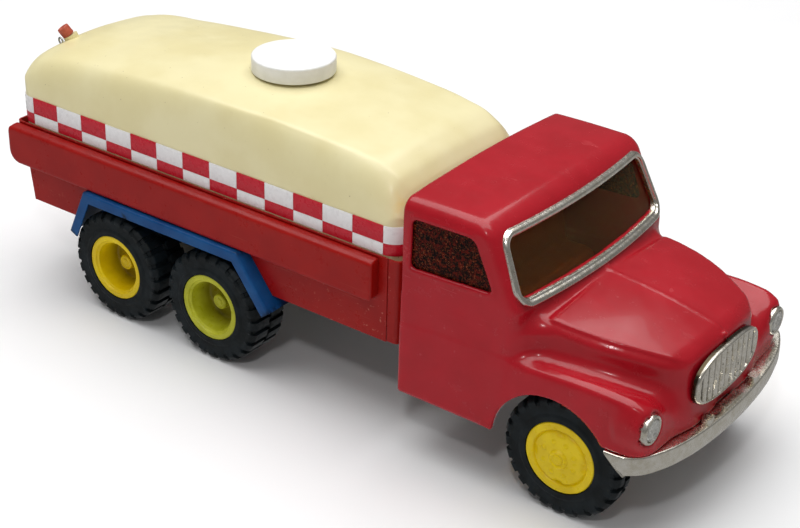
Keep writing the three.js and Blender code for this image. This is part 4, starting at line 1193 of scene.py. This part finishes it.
def tyre_form(span, flange, sign, x, z, radius):
    """A tyre with two staggered rows of tread blocks that turn over the shoulders."""
    inner, outer = span
    middle, bead = (inner + outer) / 2, 13.75
    half = rounded([(12.45, inner), (15.6, inner), (16.6, inner + 0.45), (19.4, inner + 0.45),
                    (21.3, inner + 0.1), (radius, inner + 2.0), (radius, middle - 0.55),
                    (radius - 1.1, middle - 0.45)],
                   [0, 0.5, 0.5, 0.6, 1.2, 1.4, 0.3, 0.1], 4)
    face = half[half[:, 0] > bead].copy()
    face[:, 1] = inner + outer - face[:, 1]
    profile = np.concatenate([half, face[::-1], [(bead, outer), (bead, flange), (12.45, flange)]])
    slope = np.gradient(profile, axis=0)
    slope /= np.maximum(norm(slope, axis=1), 1e-6)[:, None]
    normal = np.stack([slope[:, 1], -slope[:, 0]], -1)
    side = np.where(profile[:, 1] > middle, 0.5, 0.0)
    depth = np.clip((profile[:, 0] - 20.2) / 1.1, 0, 1) * 1.15
    depth[np.abs(profile[:, 1] - middle) < 0.5] = 0
    turn = (np.arange(LUGS)[:, None] + np.array(LUG_STOPS)[None, :]).ravel()
    sunk = depth[None, :] * (1 - lug_height(turn[:, None] + side[None, :]))
    radial = profile[None, :, 0] - np.abs(normal[None, :, 0]) * sunk
    outward = np.sign(profile[None, :, 1] - middle)
    along = profile[None, :, 1] - outward * np.abs(normal[None, :, 1]) * sunk
    angle = 2 * math.pi * turn / LUGS
    points = np.stack([x + radial * np.cos(angle)[:, None], sign * along,
                       z + radial * np.sin(angle)[:, None]], -1)
    return points.reshape(-1, 3), net_faces(len(turn), len(profile), True, True)


REAR_HUB = [(0, 38.6), (1.6, 38.6), (1.6, 26.4), (3.3, 26.4), (3.3, 33.4), (10.8, 33.4),
            (10.8, 27.2), (12.3, 27.2), (12.3, 44.8), (13.6, 44.8), (13.6, 45.9), (11.4, 45.9),
            (11.0, 45.2), (10.3, 44.9), (9.6, 35), (3.4, 35), (3.1, 40.0), (2.5, 40.5), (2.1, 40.0),
            (1.4, 40.0), (1.1, 40.4), (0, 40.5)]
REAR_HUB_RADII = [0] * 9 + [0.2, 0.35, 0.4, 0.2, 0.5, 1.2, 0.8, 0.4, 0.25, 0.1, 0.1, 0.2, 0]
FRONT_HUB_BACK = [(0, 46.2), (1.6, 46.2), (1.6, 36.4), (3.3, 36.4), (3.3, 43.6), (10.8, 43.6),
                  (10.8, 37.2), (12.3, 37.2), (12.3, 46.0), (13.6, 46.0)]


def rear_hub_form(sign, x, z):
    """A deep dish with a boss in the middle."""
    profile = rounded(REAR_HUB, REAR_HUB_RADII, 4)
    points, faces = turned(profile, 96, (0, 0, 0), (0, 1, 0), closed=False)
    return points * (1, sign, 1) + (x, 0, z), faces


def front_hub_form(sign, x, z):
    """A pressed disc: flat rim, groove with oval slots, a circle of bolts and a ribbed boss."""
    face_radius = 13.6
    radii = np.concatenate([np.linspace(0, 4.4, 14), np.linspace(4.7, 9.6, 16),
                            np.linspace(9.8, 13.2, 20), [13.45, face_radius]])
    angles = np.linspace(0, 2 * math.pi, 192, endpoint=False)
    r, a = radii[:, None], angles[None, :]
    dome = 47.15 + 0.75 * np.clip((9.6 - r) / 6, 0, 1) ** 0.8
    groove = 0.75 * np.exp(-((r - 10.3) / 0.38) ** 2)
    rim = -0.45 * np.clip((r - 13.1) / 0.5, 0, 1) ** 2
    slot_turn = (a * 4 / (2 * math.pi) + 0.5) % 1 - 0.5
    slots = 1.0 * np.exp(-((r - 9.5) / 0.75) ** 4) * np.exp(-(slot_turn / 0.11) ** 4)
    bolt_turn = ((a * 8 / (2 * math.pi)) % 1 - 0.5) * 2 * math.pi / 8 * 6.4
    bolts = 0.75 * np.exp(-(np.hypot(r - 6.4, bolt_turn) / 0.75) ** 4)
    boss = 1.0 * np.clip((3.7 - r) / 0.5, 0, 1) - 0.45 * np.exp(-((r - 2.1) / 0.35) ** 2)
    knurl = 0.12 * np.cos(12 * a) * np.exp(-((r - 2.9) / 0.4) ** 2)
    height = dome - groove + rim - slots + bolts + boss + knurl
    back = np.array(FRONT_HUB_BACK[::-1])
    ring_r = np.concatenate([np.broadcast_to(r, height.shape),
                             np.repeat(back[:, :1], len(angles), 1)])
    ring_y = np.concatenate([height, np.repeat(back[:, 1:], len(angles), 1)])
    ring_r = np.minimum(ring_r, face_radius)
    points = np.stack([x + ring_r * np.cos(a), sign * ring_y, z + ring_r * np.sin(a)], -1)
    return points.reshape(-1, 3), net_faces(len(ring_r), len(angles))


for place, finish in (("front", YELLOW), ("middle", OLD_YELLOW), ("rear", YELLOW)):
    for side, sign in SIDES:
        tyre_low, tyre_high = node_box(f"{place}_tyre_left")
        centre, radius = (tyre_low + tyre_high) / 2, (tyre_high[2] - tyre_low[2]) / 2
        span = (tyre_low[1], tyre_high[1])
        flange = 45.9 if place == "front" else 44.7
        form = tyre_form(span, flange, sign, centre[0], centre[2], radius)
        piece(f"{place}_rubber_{side}", form, RUBBER, body=f"{place}_wheelset",
              stands_for=f"{place}_tyre_{side}", sharp=34)
        make = front_hub_form if place == "front" else rear_hub_form
        piece(f"{place}_rim_{side}", make(sign, centre[0], centre[2]), finish,
              body=f"{place}_wheelset", stands_for=f"{place}_hub_{side}", sharp=50)


# ---- carried-over parts
CARRIED = {
    STEEL: ["chassis_frame", "bogie_bracket", "front_axle_bracket", "cab_floor",
            "screw_floor_rear", "screw_floor_front"]
           + [f"{kind}_{place}" for kind in ("deck_bearer", "screw_bearer")
              for place in ("rear", "middle", "front")]
           + [f"{place}_axle" for place in ("front", "middle", "rear")],
    BED_RED: ["bed_deck"],
    CREAM: ["outlet_boss"],
}
for material, names in CARRIED.items():
    for name in names:
        for holder in bpy.data.objects[name].material_slots:
            holder.material = material


# ---- stage, light and camera
def stage_floor():
    """A pale floor round the truck."""
    size = 4000
    mesh = bpy.data.meshes.new("floor")
    corners = [(x * size * MM, y * size * MM, 0) for x, y in ((-1, -1), (1, -1), (1, 1), (-1, 1))]
    mesh.from_pydata(corners, [], [(0, 1, 2, 3)])
    floor = bpy.data.objects.new("floor", mesh)
    bpy.context.collection.objects.link(floor)
    r = Recipe("pale_floor", Specular_IOR_Level=0.1)
    r.paint(r.mix((246, 246, 247), (250, 250, 250), r.noise(60, detail=3)))
    r.sheen(r.tone(20, 0.3, 0.7, 0.6, 0.7))
    mesh.materials.append(r.material)
    floor.visible_glossy = False


def softbox(name, place, target, width, depth, power, colour=(1, 1, 1)):
    light = bpy.data.lights.new(name, "AREA")
    light.shape, light.size, light.size_y = "RECTANGLE", width * MM, depth * MM
    light.energy, light.color = power, colour
    lamp = bpy.data.objects.new(name, light)
    bpy.context.collection.objects.link(lamp)
    lamp.location = Vector(place) * MM
    lamp.rotation_euler = (Vector(target) - Vector(place)).to_track_quat("-Z", "Y").to_euler()


def world_light(below, level, above):
    """Even grey light, with its strength below, at the level of the eye and overhead."""
    world = bpy.data.worlds.new("studio")
    bpy.context.scene.world = world
    world.use_nodes = True
    tree = world.node_tree
    background = tree.nodes["Background"]
    split = tree.nodes.new("ShaderNodeSeparateXYZ")
    tree.links.new(tree.nodes.new("ShaderNodeTexCoord").outputs["Generated"], split.inputs[0])
    rise = tree.nodes.new("ShaderNodeMapRange")
    rise.inputs["From Min"].default_value = -1
    tree.links.new(split.outputs["Z"], rise.inputs["Value"])
    ramp = tree.nodes.new("ShaderNodeValToRGB")
    tree.links.new(rise.outputs[0], ramp.inputs[0])
    stops = [(0.0, below), (0.42, below), (0.52, level), (0.7, level), (1.0, above)]
    while len(ramp.color_ramp.elements) < len(stops):
        ramp.color_ramp.elements.new(0.5)
    for stop, (at, value) in zip(ramp.color_ramp.elements, stops):
        stop.position, stop.color = at, (value, value, value, 1)
    tree.links.new(ramp.outputs[0], background.inputs["Color"])


CAMERA_AT = (348.8, -460.4, 349.9)
CAMERA_TURN = {"azimuth": 36.04, "elevation": 28.47, "roll": 1.6}
CAMERA_LENS, CAMERA_SHIFT = 76.08, (-0.0017, 0.0048)


def add_camera():
    azimuth, elevation, roll = (math.radians(turn) for turn in CAMERA_TURN.values())
    ahead = Vector((-math.sin(azimuth) * math.cos(elevation),
                    math.cos(azimuth) * math.cos(elevation), -math.sin(elevation)))
    right = Vector((math.cos(azimuth), math.sin(azimuth), 0))
    up = right.cross(ahead)
    level = Matrix((right, up, -ahead)).transposed()
    data = bpy.data.cameras.new("camera")
    data.lens, data.sensor_width = CAMERA_LENS, 36
    data.shift_x, data.shift_y = CAMERA_SHIFT
    data.clip_start = 0.01
    camera = bpy.data.objects.new("camera", data)
    bpy.context.collection.objects.link(camera)
    camera.matrix_world = (Matrix.Translation(Vector(CAMERA_AT) * MM) @ level.to_4x4()
                           @ Matrix.Rotation(roll, 4, "Z"))
    bpy.context.scene.camera = camera


stage_floor()
softbox("overhead", (-160, 120, 1300), (0, 0, 40), 1600, 1400, 20)
softbox("front_lamp", (360, -620, 820), (60, 0, 50), 80, 80, 1.1)
world_light(0.34, 0.16, 0.42)
add_camera()
bpy.context.scene.view_settings.view_transform = "Standard"
